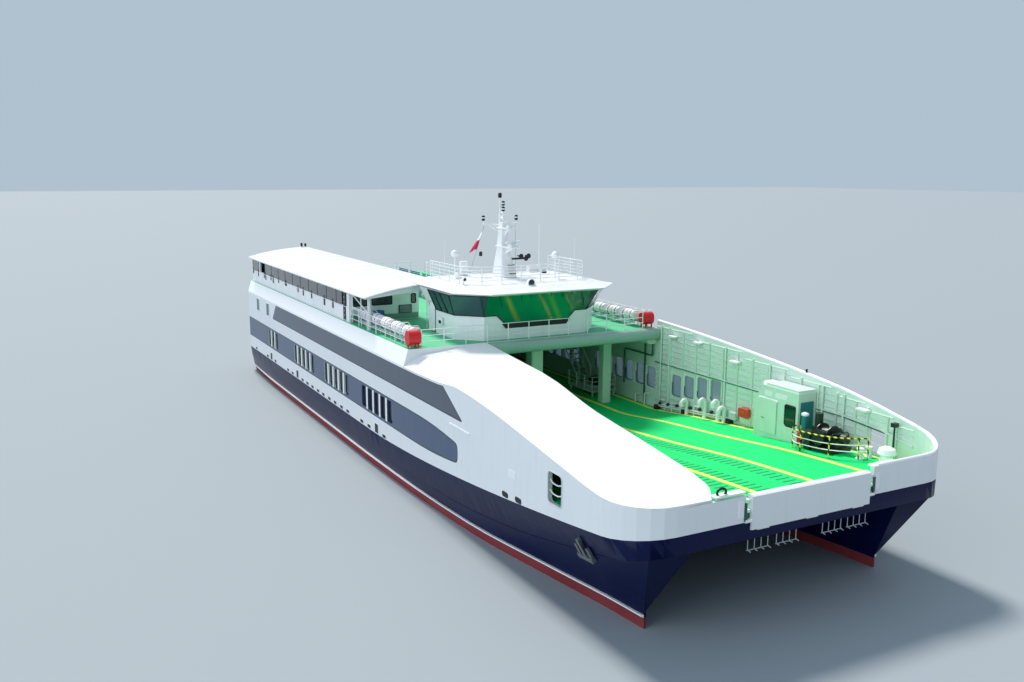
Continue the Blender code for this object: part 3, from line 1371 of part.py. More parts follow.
def bow_bearings():
    """Pads on the bow's front, just clear of the bow door's hinge tubes."""
    z = knuckle_z(BOW_X) - BOW_LIP_DEEP
    face = BOW_HINGE_X - BOW_LIP_THICK / 2 - GAP
    low, high = z - 0.03 * M, z + 0.008 * M
    return [box((BOW_X - 0.1 * M, y - half, low), (face, y + half, high)) for y, half in BOW_HINGES]


def bow_door():
    """The bow bulwark between the slots, which folds forward about its foot."""
    hinge_x = BOW_HINGE_X
    hinge_z = knuckle_z(BOW_X) - BOW_LIP_DEEP
    frame = pivot("bow_door_pivot", (hinge_x, 0, hinge_z))
    ledge = knuckle_z(BOW_X) + RUNNING - hinge_z
    top = knuckle_z(BOW_X) + BULWARK_TALL - ROOF_PLATE - hinge_z
    face = BOW_LIP_THICK / 2
    back = BOW_X - SIDE_PLATE - hinge_x
    outline = [
        (-face, 0.3 * HINGE_RADIUS),
        (face, 0.3 * HINGE_RADIUS),
        (face, top - 0.05 * M),
        (face - 0.1 * M, top),
        (back, top),
        (back, ledge),
        (-face, ledge),
    ]
    reach = BOW_SLOT_Y - BOW_SLOT_WIDE / 2
    obj = new_object("bow_door", prism(outline, -reach, reach, "Y"), WHITE, frame)
    tubes = [cylinder((0, y - half, 0), (0, y + half, 0), BOW_LIP_THICK / 2, 12) for y, half in BOW_HINGES]
    return combine(obj, tubes, "UNION")


def deck_rails():
    """The railings round the passenger deck and on the wheelhouse roof."""
    deck = PASSENGER_DECK_Z + 2 * GAP
    edge = HALF_BEAM - 0.42 * M
    front = DECK_FRONT_X - 0.15 * M
    reach = RED_BOX_Y - RED_BOX_WIDE / 2 - RAIL_BAR
    new_object("rail_front", railing([(front, -reach), (front, reach)], deck), WHITE)
    end = RED_BOX_X - RED_BOX_WIDE / 2 - RAIL_BAR
    for name, start, y in (("rail_starboard", HOUSE_FRONT_X + 0.2 * M, -edge), ("rail_port", HOUSE_AFT_X, edge)):
        new_object(name, railing([(start, y), (end, y)], deck), WHITE)
    stern = HOUSE_AFT_X - 0.2 * M
    new_object("rail_aft", railing([(stern, HOUSE_INNER_Y + 0.2 * M), (stern, edge)], deck), WHITE)
    roof = EAVES_Z + WHEELHOUSE_ROOF_THICK + 2 * GAP
    y = WHEELHOUSE_ROOF_HALF - WHEELHOUSE_ROOF_BEVEL - 0.1 * M
    x = WHEELHOUSE_ROOF_FRONT_X - WHEELHOUSE_ROOF_BEVEL - 1.2 * M
    aft = WHEELHOUSE_ROOF_AFT_X + 0.15 * M
    path = [(aft, -y), (x - 1.0 * M, -y), (x, -y + 1.0 * M), (x, y - 1.0 * M), (x - 1.0 * M, y), (aft, y)]
    new_object("rail_wheelhouse_roof", railing(path, roof), WHITE)


def main():
    clear_scene()
    for side in (-1, 1):
        hull(side)
        side_wall(side)
        liferafts(side)
        red_box(side)
        spray_rail(side)
        shaft(side)
        propeller(side)
        rudder(side)
        anchor(side)
    cross_structure()
    vehicle_deck()
    casing()
    stern_frame()
    stern_ramp()
    passenger_deck()
    front_girder()
    pillar("pillar_centre", PILLAR_CENTRE, PILLAR_CENTRE_WIDE)
    pillar("pillar_port", PILLAR_PORT, PILLAR_PORT_WIDE)
    aft_house()
    aft_roof()
    roof_post("roof_post_outboard", ROOF_OUTER_Y + POST_INBOARD)
    roof_post("roof_post_inboard", ROOF_INNER_Y - POST_INBOARD)
    wheelhouse_walls()
    wheelhouse_glazing()
    wheelhouse_roof()
    mast()
    radar("radar_lower", RADAR_LOW_Z, RADAR_LONG, RADAR_LOW_TURN)
    radar("radar_upper", RADAR_HIGH_Z, RADAR_HIGH_LONG)
    control_cabin()
    cabin_door()
    windlass()
    windlass_guard()
    capstan()
    port_frames()
    bow_door()
    deck_rails()


main()
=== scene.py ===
"""The looks of a double-hulled ro-ro ferry, afloat, at half size.

Shapes are laid out in the real ferry's metres, and each piece is brought to half size as it settles.
Materials read the settled metres."""

from math import cos, pi, radians, sin

import bmesh
import bpy
from mathutils import Matrix, Vector


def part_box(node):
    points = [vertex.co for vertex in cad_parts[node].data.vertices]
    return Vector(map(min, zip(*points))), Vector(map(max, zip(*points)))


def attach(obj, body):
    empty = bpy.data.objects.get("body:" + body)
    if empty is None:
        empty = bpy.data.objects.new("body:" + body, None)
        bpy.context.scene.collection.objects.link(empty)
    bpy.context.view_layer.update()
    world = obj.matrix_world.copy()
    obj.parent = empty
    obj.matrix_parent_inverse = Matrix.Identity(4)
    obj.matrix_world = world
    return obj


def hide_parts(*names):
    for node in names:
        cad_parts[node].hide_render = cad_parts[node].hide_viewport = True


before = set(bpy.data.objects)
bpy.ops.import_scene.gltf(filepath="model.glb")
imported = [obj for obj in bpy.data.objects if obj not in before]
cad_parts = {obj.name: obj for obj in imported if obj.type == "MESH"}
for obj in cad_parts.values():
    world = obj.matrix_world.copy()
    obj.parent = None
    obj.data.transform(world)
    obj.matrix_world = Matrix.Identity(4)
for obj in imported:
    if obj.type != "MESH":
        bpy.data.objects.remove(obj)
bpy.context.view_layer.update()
M = 0.5  # one metre of the real ferry on this half-size model

# The ferry's own lines, in real metres: x forward, y to port, z up from the water.
DECK_RISE = ((-30.4, 0), (8, 0), (13, 0.5), (17.8, 0.9), (23.5, 1.45), (30.4, 1.85))
PORT_RIM = ((8.2, 8.62), (12, 8.42), (20, 7.75), (24.2, 7.25), (28, 6.5), (30.4, 5.9))
BOTH_SIDES = ((-1, "starboard"), (1, "port"))
SIDE_SKIN, SKIN_BACK = 8.8, 8.79
PASSENGER_DECK, WHEEL_TOP = 8.2, 11.45
AFT_HOUSE_SIDES = ((-1, -8.4, "outboard"), (1, -3.5, "inboard"))
BAND_BAYS, BARE_BAY, BAND_PITCH = 12, 1, 2.197
ROOF_FRONT, ROOF_AFT, ROOF_OUTER, ROOF_WIDE = 1.47, -29.72, -8.6, 5.3
WHEEL_FRONT, WINDOW_SILL, WINDOW_TOP = 7.7, 9.7, 10.93
MAST_TRUNK, LOW_RADAR, HIGH_RADAR = 3.35, 4.666, 4.22
ON_DECK, ON_ROOF = 8.21, 11.46  # feet on the passenger deck and the wheelhouse roof


def along(table, x):
    """A table's value at x, on a smooth curve through its rows."""
    if x <= table[0][0]:
        return table[0][1]
    slopes = [(b[1] - a[1]) / (b[0] - a[0]) for a, b in zip(table, table[1:])]
    leans = [slopes[0]]
    for one, two in zip(slopes, slopes[1:]):
        leans.append(0.0 if one * two <= 0 else 2 * one * two / (one + two))
    leans.append(slopes[-1])
    for i, (a, b) in enumerate(zip(table, table[1:])):
        if x <= b[0]:
            span = b[0] - a[0]
            t = (x - a[0]) / span
            return (a[1] * (2 * t**3 - 3 * t**2 + 1) + leans[i] * span * (t**3 - 2 * t**2 + t)
                    + b[1] * (3 * t**2 - 2 * t**3) + leans[i + 1] * span * (t**3 - t**2))
    return table[-1][1]


def deck_z(x):
    """The vehicle deck's height at x."""
    return 2.95 + along(DECK_RISE, x)


def linear(code):
    """An sRGB hex colour as the linear values that a shader takes."""
    parts = [int(code[i : i + 2], 16) / 255 for i in (1, 3, 5)]
    return tuple(c / 12.92 if c <= 0.04045 else ((c + 0.055) / 1.055) ** 2.4 for c in parts) + (1.0,)


def add(tree, kind, links=(), **settings):
    """Adds a node: its settings, then each input by name or number, as a value or as what feeds it."""
    made = tree.nodes.new(kind)
    for key, value in settings.items():
        setattr(made, key, value)
    for key, value in dict(links).items():
        named = (s for s in made.inputs if s.name == key and not s.is_unavailable)
        socket = made.inputs[key] if isinstance(key, int) else next(named)
        if isinstance(value, bpy.types.Node):
            value = next(s for s in value.outputs if not s.is_unavailable)
        if isinstance(value, bpy.types.NodeSocket):
            tree.links.new(value, socket)
        else:
            socket.default_value = value
    return made


def start_material(name, slot, **uniform):
    """A new material with its values that are the same all over, and the piece's own coordinates."""
    made = bpy.data.materials.new(name)
    made.use_nodes = True
    shader = made.node_tree.nodes["Principled BSDF"]
    for key, value in uniform.items():
        shader.inputs[key.replace("_", " ")].default_value = value
    place = add(made.node_tree, "ShaderNodeTexCoord").outputs["Object"]
    return made, made.node_tree, shader, place


def weathering(tree, place, streak_scale=(7.0, 7.0, 0.7)):
    """Broad fading and thin rain streaks that run down a ship's side, each from 0 to 1."""
    fade = add(tree, "ShaderNodeTexNoise", {"Vector": place, "Scale": 0.9, "Detail": 4.0})
    run = add(tree, "ShaderNodeMapping", {"Vector": place, "Scale": streak_scale})
    noise = add(tree, "ShaderNodeTexNoise", {"Vector": run, "Scale": 1.0, "Detail": 5.0, "Roughness": 0.6})
    streak = add(tree, "ShaderNodeMapRange",
                 {"Value": noise.outputs["Fac"], "From Min": 0.52, "From Max": 0.8})
    return fade.outputs["Fac"], streak


def plate_seams(tree, place, long, tall, deck=False):
    """The welded edges of steel plates of this size in model metres: 1 on a seam, 0 between."""
    parts = add(tree, "ShaderNodeSeparateXYZ", {"Vector": place})
    x, y, z = parts.outputs
    across = add(tree, "ShaderNodeMath", {0: x, 1: y}, operation="ADD")
    flat = {"X": x, "Y": y} if deck else {"X": across, "Y": z}
    plan = add(tree, "ShaderNodeCombineXYZ", flat)
    bricks = {"Vector": plan, "Color1": (0, 0, 0, 1), "Color2": (0, 0, 0, 1), "Mortar": (1, 1, 1, 1),
              "Scale": 1.0, "Mortar Size": 0.006, "Mortar Smooth": 0.6, "Brick Width": long,
              "Row Height": tall}
    return add(tree, "ShaderNodeTexBrick", bricks).outputs["Color"]


def relief(tree, shader, height, depth, strength=0.5):
    """Feeds a height pattern of this depth in metres to the shader's normal."""
    bump = add(tree, "ShaderNodeBump", {"Height": height, "Distance": depth, "Strength": strength})
    tree.links.new(bump.outputs["Normal"], shader.inputs["Normal"])


def coloured(tree, shader, tint):
    """Feeds a mix of colours to the shader's base colour."""
    tree.links.new(tint.outputs[2], shader.inputs["Base Color"])


def marine_enamel(name, slot, colour, faded, roughness=0.36, streaks=0.35, seams=(3.0, 0.9), deck=False):
    """Sprayed marine enamel on welded plates: an even satin coat that chalks, streaks and shows the seams."""
    made, tree, shader, place = start_material(name, slot, Roughness=roughness, Coat_Weight=0.15)
    fade, streak = weathering(tree, place)
    share = add(tree, "ShaderNodeMath", {0: streak, 1: streaks, 2: 0.0}, operation="MULTIPLY_ADD")
    blotch = add(tree, "ShaderNodeMapRange",
                 {"Value": fade, "From Min": 0.35, "From Max": 0.75, "To Max": 0.35})
    total = add(tree, "ShaderNodeMath", {0: share, 1: blotch}, operation="ADD", use_clamp=True)
    tint = add(tree, "ShaderNodeMix", {"Factor": total, "A": linear(colour), "B": linear(faded)},
               data_type="RGBA")
    coloured(tree, shader, tint)
    lines = plate_seams(tree, place, *seams, deck=deck)
    relief(tree, shader, lines, 0.004, 0.25)
    return made


def inside_outline(tree, place, edges, rounding):
    """How far inside a painted outline a point is: its least depth behind straight edges, rounded where
    they meet. An edge is a point on it and the way inwards, as x, z, x, z."""
    least = None
    for x, z, in_x, in_z in edges:
        reach = add(tree, "ShaderNodeVectorMath", {0: place, 1: (in_x, 0, in_z)}, operation="DOT_PRODUCT")
        start = (in_x * x + in_z * z) * M
        depth = add(tree, "ShaderNodeMath", {0: reach, 1: start}, operation="SUBTRACT")
        if least is not None:
            both = {0: least, 1: depth, 2: rounding * M}
            depth = add(tree, "ShaderNodeMath", both, operation="SMOOTH_MIN")
        least = depth
    return least


# Each edge of a painted band: a point on it and the way inwards, as x, z, x, z.
LOWER_BAND = ((0, 3.3, 0, 1), (0, 4.94, 0, -1), (15.2, 4.62, -0.12, -0.99), (15.35, 4, -1, 0),
              (12.3, 3.3, -0.11, 0.99))
UPPER_BAND = ((0, 5.9, 0, 1), (-21.1, 5.9, 0.72, -0.69), (14.2, 6.9, -0.5, -0.866))


def side_plating():
    """Two-pack marine enamel on the ship's side: white outside with two grey-blue bands, each edged by a thin
    dark line that is partly a pinstripe and partly painted shade of the crease along it; pale green inside.
    Rain streaks run down it and the plates' welded seams show as faint grooves."""
    made, tree, shader, place = start_material("side_plating_enamel", "white_enamel", Roughness=0.34,
                                               Coat_Weight=0.2)
    streak = weathering(tree, place)[1]
    colour = linear("#e2e6e8")
    for edges, band, rounding in ((LOWER_BAND, "#34496b", 0.5), (UPPER_BAND, "#3f4a5d", 0.25)):
        depth = inside_outline(tree, place, edges, rounding)
        # Painted shade: a thin dark line straddles each band's edge, a pinstripe that also stands for the
        # shade in the crease along it.
        for from_edge, shade in ((-0.03, "#10182c"), (0.045, band)):
            inside = add(tree, "ShaderNodeMath", {0: depth, 1: from_edge * M}, operation="GREATER_THAN")
            colour = add(tree, "ShaderNodeMix", {"Factor": inside, "A": colour, "B": linear(shade)},
                         data_type="RGBA")
    normal = add(tree, "ShaderNodeTexCoord").outputs["Normal"]
    flat = add(tree, "ShaderNodeVectorMath", {0: place, 1: (1, 1, 0)}, operation="MULTIPLY")
    outward = add(tree, "ShaderNodeVectorMath", {0: normal, 1: flat}, operation="DOT_PRODUCT")
    inner = add(tree, "ShaderNodeMath", {0: outward, 1: -0.05}, operation="LESS_THAN")
    colour = add(tree, "ShaderNodeMix", {"Factor": inner, "A": colour, "B": linear("#d5e6dc")},
                 data_type="RGBA")
    dirt = add(tree, "ShaderNodeMath", {0: streak, 1: 0.1}, operation="MULTIPLY")
    colour = add(tree, "ShaderNodeMix", {"Factor": dirt, "A": colour, "B": linear("#8d938f")},
                 data_type="RGBA")
    coloured(tree, shader, colour)
    relief(tree, shader, plate_seams(tree, place, 3.0, 0.9), 0.005, 0.3)
    return made


def hull_paint():
    """Gloss navy enamel down to the boot line, matt red antifouling below it, scuffed along the waterline."""
    made, tree, shader, place = start_material("navy_and_antifouling_paint", "navy_enamel",
                                               Specular_IOR_Level=0.15)
    fade, streak = weathering(tree, place)
    height = add(tree, "ShaderNodeSeparateXYZ", {"Vector": place}).outputs["Z"]
    wander = add(tree, "ShaderNodeMath", {0: fade, 1: 0.01, 2: 0.235}, operation="MULTIPLY_ADD")
    topsides = add(tree, "ShaderNodeMath", {0: height, 1: wander}, operation="GREATER_THAN")
    navy = {"Factor": streak, "A": linear("#020d3a"), "B": linear("#051542")}
    red = {"Factor": fade, "A": linear("#7d2c30"), "B": linear("#94494b")}
    navy, red = (add(tree, "ShaderNodeMix", m, data_type="RGBA") for m in (navy, red))
    colour = add(tree, "ShaderNodeMix", {"Factor": topsides, "A": red, "B": navy}, data_type="RGBA")
    coloured(tree, shader, colour)
    gloss = add(tree, "ShaderNodeMapRange", {"Value": topsides, "To Min": 0.65, "To Max": 0.28})
    tree.links.new(gloss.outputs[0], shader.inputs["Roughness"])
    relief(tree, shader, plate_seams(tree, place, 3.0, 0.7), 0.005, 0.3)
    return made


# Lane lines: y and half their width.
LANE_LINES = ((-0.6, 0.14), (2.7, 0.14), (5.8, 0.14), (8.2, 0.14))


def vehicle_deck_paint():
    """Thick non-skid deck paint, bright green with yellow lane lines: grit keeps it matt, tyres scuff it
    along the lanes."""
    made, tree, shader, place = start_material("non_skid_vehicle_deck_paint", "green_deck_paint",
                                               Roughness=0.62, Specular_IOR_Level=0.2)
    fade = add(tree, "ShaderNodeTexNoise", {"Vector": place, "Scale": 0.7, "Detail": 4.0})
    run = add(tree, "ShaderNodeMapping", {"Vector": place, "Scale": (0.25, 3.0, 1.0)})
    tyres = add(tree, "ShaderNodeTexNoise", {"Vector": run, "Scale": 1.5, "Detail": 6.0, "Roughness": 0.65})
    scuff = {"Value": tyres.outputs["Fac"], "From Min": 0.55, "From Max": 0.85, "To Max": 0.5}
    scuff = add(tree, "ShaderNodeMapRange", scuff)
    green = {"Factor": fade.outputs["Fac"], "A": linear("#00cc78"), "B": linear("#0cd466")}
    colour = add(tree, "ShaderNodeMix", green, data_type="RGBA")
    colour = add(tree, "ShaderNodeMix", {"Factor": scuff, "A": colour, "B": linear("#2c8f62")},
                 data_type="RGBA")
    across = add(tree, "ShaderNodeSeparateXYZ", {"Vector": place}).outputs["Y"]
    grit = add(tree, "ShaderNodeTexNoise", {"Vector": place, "Scale": 9.0, "Detail": 6.0, "Roughness": 0.7})
    worn = {"Value": grit.outputs["Fac"], "From Min": 0.28, "From Max": 0.4}
    worn = add(tree, "ShaderNodeMapRange", worn)
    for y, half in LANE_LINES:
        line = add(tree, "ShaderNodeMath", {0: across, 1: y * M, 2: half * M}, operation="COMPARE")
        kept = add(tree, "ShaderNodeMath", {0: line, 1: worn}, operation="MULTIPLY")
        colour = add(tree, "ShaderNodeMix", {"Factor": kept, "A": colour, "B": linear("#eef06c")},
                     data_type="RGBA")
    coloured(tree, shader, colour)
    # Real grit is under a millimetre, too fine to show here, so it is drawn at about 12 mm.
    sand = add(tree, "ShaderNodeTexNoise", {"Vector": place, "Scale": 80.0, "Detail": 2.0})
    relief(tree, shader, sand.outputs["Fac"], 0.002, 0.3)
    return made


def walkway_paint():
    """Non-skid paint on the passenger deck's top, with white enamel on its edges."""
    made, tree, shader, place = start_material("passenger_deck_paint", "green_deck_paint", Roughness=0.6)
    fade = add(tree, "ShaderNodeTexNoise", {"Vector": place, "Scale": 1.1, "Detail": 5.0})
    colour = {"Factor": fade.outputs["Fac"], "A": linear("#35b07c"), "B": linear("#55c792")}
    colour = add(tree, "ShaderNodeMix", colour, data_type="RGBA")
    up = add(tree, "ShaderNodeSeparateXYZ", {"Vector": add(tree, "ShaderNodeTexCoord").outputs["Normal"]})
    top = add(tree, "ShaderNodeMath", {0: up.outputs["Z"], 1: 0.5}, operation="GREATER_THAN")
    edge = {"Factor": top, "A": linear("#eef1f1"), "B": colour}
    colour = add(tree, "ShaderNodeMix", edge, data_type="RGBA")
    coloured(tree, shader, colour)
    sand = add(tree, "ShaderNodeTexNoise", {"Vector": place, "Scale": 80.0, "Detail": 2.0})
    relief(tree, shader, sand.outputs["Fac"], 0.002, 0.25)
    return made


def tinted_glass(name, colour, edge, clear, ends=None):
    """Toughened tinted glass: smooth and glossy, with a film of salt that dulls it in patches. With a colour
    for the ends, the panes at the sides take that colour, and lime bands of painted reflection, as of the
    sunlit deck, cross the middle ones."""
    made, tree, shader, place = start_material(name, "tinted_glass", Transmission_Weight=clear,
                                               Coat_Weight=0.6)
    film = add(tree, "ShaderNodeTexNoise", {"Vector": place, "Scale": 2.5, "Detail": 4.0})
    tint = {"Factor": film.outputs["Fac"], "A": linear(colour), "B": linear(edge)}
    tint = add(tree, "ShaderNodeMix", tint, data_type="RGBA")
    if ends:
        # Painted reflection: slanting lime bands on the middle panes stand for the sunlit deck reflected in
        # the glass.
        slant = add(tree, "ShaderNodeVectorMath", {0: place, 1: (0, 0.9, 0.55)}, operation="DOT_PRODUCT")
        bands = add(tree, "ShaderNodeMath", {0: slant, 1: 1.3 * M}, operation="PINGPONG")
        band = add(tree, "ShaderNodeMapRange",
                   {"Value": bands, "From Min": 1.05 * M, "From Max": 1.3 * M, "To Max": 0.75})
        tint = add(tree, "ShaderNodeMix", {"Factor": band, "A": tint, "B": linear("#86b33c")},
                   data_type="RGBA")
        across = add(tree, "ShaderNodeSeparateXYZ", {"Vector": place}).outputs["Y"]
        across = add(tree, "ShaderNodeMath", {0: across}, operation="ABSOLUTE")
        outer = add(tree, "ShaderNodeMath", {0: across, 1: 3.5 * M}, operation="GREATER_THAN")
        tint = add(tree, "ShaderNodeMix", {"Factor": outer, "A": tint, "B": linear(ends)}, data_type="RGBA")
    coloured(tree, shader, tint)
    dull = {"Value": film.outputs["Fac"], "From Min": 0.4, "From Max": 0.8, "To Min": 0.03, "To Max": 0.16}
    tree.links.new(add(tree, "ShaderNodeMapRange", dull).outputs[0], shader.inputs["Roughness"])
    return made


def bare_metal(name, slot, colour, dull, roughness, grain):
    """Bare metal: fully metallic, with spangle or cast grain that breaks up its shine."""
    made, tree, shader, place = start_material(name, slot, Metallic=1.0)
    spangle = add(tree, "ShaderNodeTexVoronoi", {"Vector": place, "Scale": grain})
    cloud = add(tree, "ShaderNodeTexNoise", {"Vector": place, "Scale": grain / 4, "Detail": 5.0})
    mixed = {"Factor": cloud.outputs["Fac"], "A": linear(colour), "B": linear(dull)}
    mixed = add(tree, "ShaderNodeMix", mixed, data_type="RGBA")
    coloured(tree, shader, mixed)
    shine = {"Value": spangle.outputs["Distance"], "To Min": roughness - 0.1, "To Max": roughness + 0.15}
    tree.links.new(add(tree, "ShaderNodeMapRange", shine).outputs[0], shader.inputs["Roughness"])
    relief(tree, shader, cloud.outputs["Fac"], 0.001, 0.3)
    return made


def moulded(name, slot, colour, shade, roughness, grain=60.0, streaks=0.2):
    """Moulded or brushed-on coat on small gear: nearly even, with faint grain and thin streaks of grime."""
    made, tree, shader, place = start_material(name, slot)
    fade, streak = weathering(tree, place, (25.0, 25.0, 4.0))
    grime = add(tree, "ShaderNodeMath", {0: streak, 1: streaks}, operation="MULTIPLY")
    tint = add(tree, "ShaderNodeMix", {"Factor": grime, "A": linear(colour), "B": linear(shade)},
               data_type="RGBA")
    coloured(tree, shader, tint)
    rough = {"Value": fade, "To Min": roughness - 0.06, "To Max": roughness + 0.1}
    tree.links.new(add(tree, "ShaderNodeMapRange", rough).outputs[0], shader.inputs["Roughness"])
    skin = add(tree, "ShaderNodeTexNoise", {"Vector": place, "Scale": grain, "Detail": 3.0})
    relief(tree, shader, skin.outputs["Fac"], 0.0008, 0.25)
    return made


def striped(name, light, dark, pitch):
    """Warning paint brushed on in bands of two colours along the piece."""
    made, tree, shader, place = start_material(name, "galvanised_steel", Roughness=0.42)
    run = add(tree, "ShaderNodeVectorMath", {0: place, 1: (1, 1, 1)}, operation="DOT_PRODUCT")
    saw = add(tree, "ShaderNodeMath", {0: run, 1: 2 * pitch * M}, operation="FLOORED_MODULO")
    band = add(tree, "ShaderNodeMath", {0: saw, 1: pitch * M}, operation="GREATER_THAN")
    tint = add(tree, "ShaderNodeMix", {"Factor": band, "A": linear(light), "B": linear(dark)},
               data_type="RGBA")
    coloured(tree, shader, tint)
    chips = add(tree, "ShaderNodeTexNoise", {"Vector": place, "Scale": 40.0, "Detail": 4.0})
    relief(tree, shader, chips.outputs["Fac"], 0.001, 0.3)
    return made


def woven_bunting():
    """Woven nylon bunting in two bands sewn together, white over crimson, with the weave's fine ribs."""
    made, tree, shader, place = start_material("woven_bunting", "red_enamel", Roughness=0.8,
                                               Sheen_Weight=0.3)
    height = add(tree, "ShaderNodeSeparateXYZ", {"Vector": place}).outputs["Z"]
    upper = add(tree, "ShaderNodeMath", {0: height, 1: 13.72 * M}, operation="GREATER_THAN")
    dye = {"Factor": upper, "A": linear("#c4174c"), "B": linear("#eef0f2")}
    dye = add(tree, "ShaderNodeMix", dye, data_type="RGBA")
    coloured(tree, shader, dye)
    # Real threads are 0.3 mm apart, too fine to show here, so they are drawn 6 mm apart.
    ribs = {"Vector": place, "Scale": 27.0, "Distortion": 0.5}
    relief(tree, shader, add(tree, "ShaderNodeTexWave", ribs, bands_direction="Z").outputs["Fac"], 0.001,
           0.4)
    return made


WHITE = marine_enamel("white_marine_enamel", "white_enamel", "#f1f3f4", "#d3d7d6")
ROOF = marine_enamel("white_roof_enamel", "white_enamel", "#e6e9ea", "#d0d5d6", streaks=0.1, seams=(3, 1),
                     deck=True)
SIDES = side_plating()
NAVY = hull_paint()
DECK = vehicle_deck_paint()
WALKWAY = walkway_paint()
PALE = marine_enamel("pale_green_enamel", "pale_green_enamel", "#cfe3d5", "#aecab8", 0.45, seams=(1.5, 0.6))
RIB_PAINT = moulded("dark_green_rib_paint", "green_deck_paint", "#0f9c63", "#0b6a45", 0.6)
GLASS = tinted_glass("emerald_tinted_glass", "#04805a", "#0a9a66", 0.35, "#4d626d")
DARK_GLASS = tinted_glass("grey_tinted_glass", "#0c121d", "#1a2432", 0.1)
SIDE_GLASS = tinted_glass("slate_tinted_glass", "#27323f", "#3f4c58", 0.3)
CLEAR_GLASS = tinted_glass("clear_side_glass", "#9fb4c4", "#b4c6d2", 0.6)
PALE_GLASS = tinted_glass("frosted_pale_glass", "#8c9ba3", "#a7b3b8", 0.2)
STEEL = bare_metal("hot_dip_galvanised_steel", "galvanised_steel", "#a9adaf", "#868b8e", 0.42, 30.0)
BRONZE = bare_metal("cast_propeller_bronze", "propeller_bronze", "#b98a45", "#8d6733", 0.3, 50.0)
RED = moulded("gloss_red_enamel", "red_enamel", "#d5121c", "#8c1016", 0.3)
MACHINE = moulded("greasy_machinery_enamel", "machinery_paint", "#14221f", "#060808", 0.4, 40.0, 0.6)
RUBBER = moulded("black_moulded_rubber", "machinery_paint", "#15171a", "#2a2c2e", 0.7)
RAFT = moulded("gel_coated_raft_shell", "white_enamel", "#e6e4e6", "#b9b8ba", 0.35, 30.0, 0.4)
# Black for lamp housings, horns and screens; also the black sheets of painted shade in the notch recess,
# freeing ports and slots.
LAMP_BLACK = moulded("black_lamp_housing", "machinery_paint", "#0c0f16", "#1d2026", 0.45)
LENS = moulded("clear_lamp_lens", "tinted_glass", "#dfe8ea", "#b7c2c4", 0.12)
GREY = moulded("light_grey_locker_enamel", "white_enamel", "#c3cccd", "#98a2a2", 0.45)
BLUE = moulded("blue_coated_canvas", "red_enamel", "#2f62b5", "#1d3f7d", 0.6)
ORANGE = moulded("orange_fire_locker_gel_coat", "red_enamel", "#d8432a", "#8f2c1c", 0.4)
HAZARD = striped("yellow_and_black_guard_paint", "#e9dc3f", "#15160f", 0.22)
SEAT = moulded("blue_moulded_seat_shell", "machinery_paint", "#35598c", "#22375a", 0.4)
FITTING = moulded("white_moulded_fitting", "white_enamel", "#eceeee", "#c2c6c6", 0.35)
TEAL = marine_enamel("teal_grey_enamel", "pale_green_enamel", "#6f968c", "#5b7f78", 0.45, seams=(1.2, 0.8))
# The girder's pale green enamel takes the darker grey-green it shows in shade: painted shade in its colour.
SHADED_GIRDER_PAINT = marine_enamel("grey_green_girder_enamel", "pale_green_enamel", "#90afa3", "#7a998e", 0.45)
PALE_BAR = moulded("pale_green_brushed_enamel", "pale_green_enamel", "#c9dfd0", "#a3bfae", 0.45)
# Dark green for pipes and bars; also a bar of painted shadow under the port wall's stringer.
DARK_GREEN = moulded("dark_green_brushed_enamel", "machinery_paint", "#1d5b4a", "#123a31", 0.45)
BLUE_GREEN = moulded("teal_machinery_enamel", "machinery_paint", "#13797a", "#0c5254", 0.4)
BUNTING = woven_bunting()

CAD_FINISH = {"aft_house": WHITE, "aft_roof": ROOF, "casing_starboard": ROOF, "side_wall_port": SIDES,
              "side_wall_starboard": SIDES, "bow_corner_port": SIDES, "bow_corner_starboard": SIDES,
              "stern_corner_port": SIDES, "stern_corner_starboard": SIDES, "hull_port": NAVY,
              "hull_starboard": NAVY, "cross_structure": NAVY, "vehicle_deck": DECK,
              "passenger_deck": WALKWAY, "front_girder": SHADED_GIRDER_PAINT, "control_cabin": PALE,
              "control_cabin_door": PALE, "port_wall_frames": PALE, "pillar_centre": PALE,
              "pillar_port": PALE, "wheelhouse_glazing": GLASS, "wheelhouse_roof": ROOF,
              "wheelhouse_walls": WHITE, "mast": WHITE, "bow_door": SIDES, "stern_ramp": WHITE,
              "stern_header": WHITE, "windlass": MACHINE, "capstan": WHITE, "anchor_port": STEEL,
              "anchor_starboard": STEEL, "windlass_guard": HAZARD, "red_box_port": RED,
              "red_box_starboard": RED, "propeller_port": BRONZE, "propeller_starboard": BRONZE,
              "rudder_port": NAVY, "rudder_starboard": NAVY, "shaft_port": STEEL, "shaft_starboard": STEEL,}
for node_name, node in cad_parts.items():
    node.data.materials.clear()
    node.data.materials.append(CAD_FINISH.get(node_name, WHITE))


def tree_with(name, **sockets):
    """A Geometry Nodes tree with named inputs, and its input and output nodes."""
    tree = bpy.data.node_groups.new(name, "GeometryNodeTree")
    tree.interface.new_socket("Geometry", in_out="OUTPUT", socket_type="NodeSocketGeometry")
    tree.interface.new_socket("Geometry", in_out="INPUT", socket_type="NodeSocketGeometry")
    for key, kind in {**sockets, "Finish": "Material"}.items():
        tree.interface.new_socket(key.replace("_", " "), in_out="INPUT", socket_type=f"NodeSocket{kind}")
    return tree, add(tree, "NodeGroupInput").outputs


def end_tree(tree, shape, inputs):
    """Ends a tree in real, finished geometry."""
    real = add(tree, "GeometryNodeRealizeInstances", {"Geometry": shape})
    done = add(tree, "GeometryNodeSetMaterial", {"Geometry": real, "Material": inputs["Finish"]})
    add(tree, "NodeGroupOutput", {"Geometry": done})
    return tree


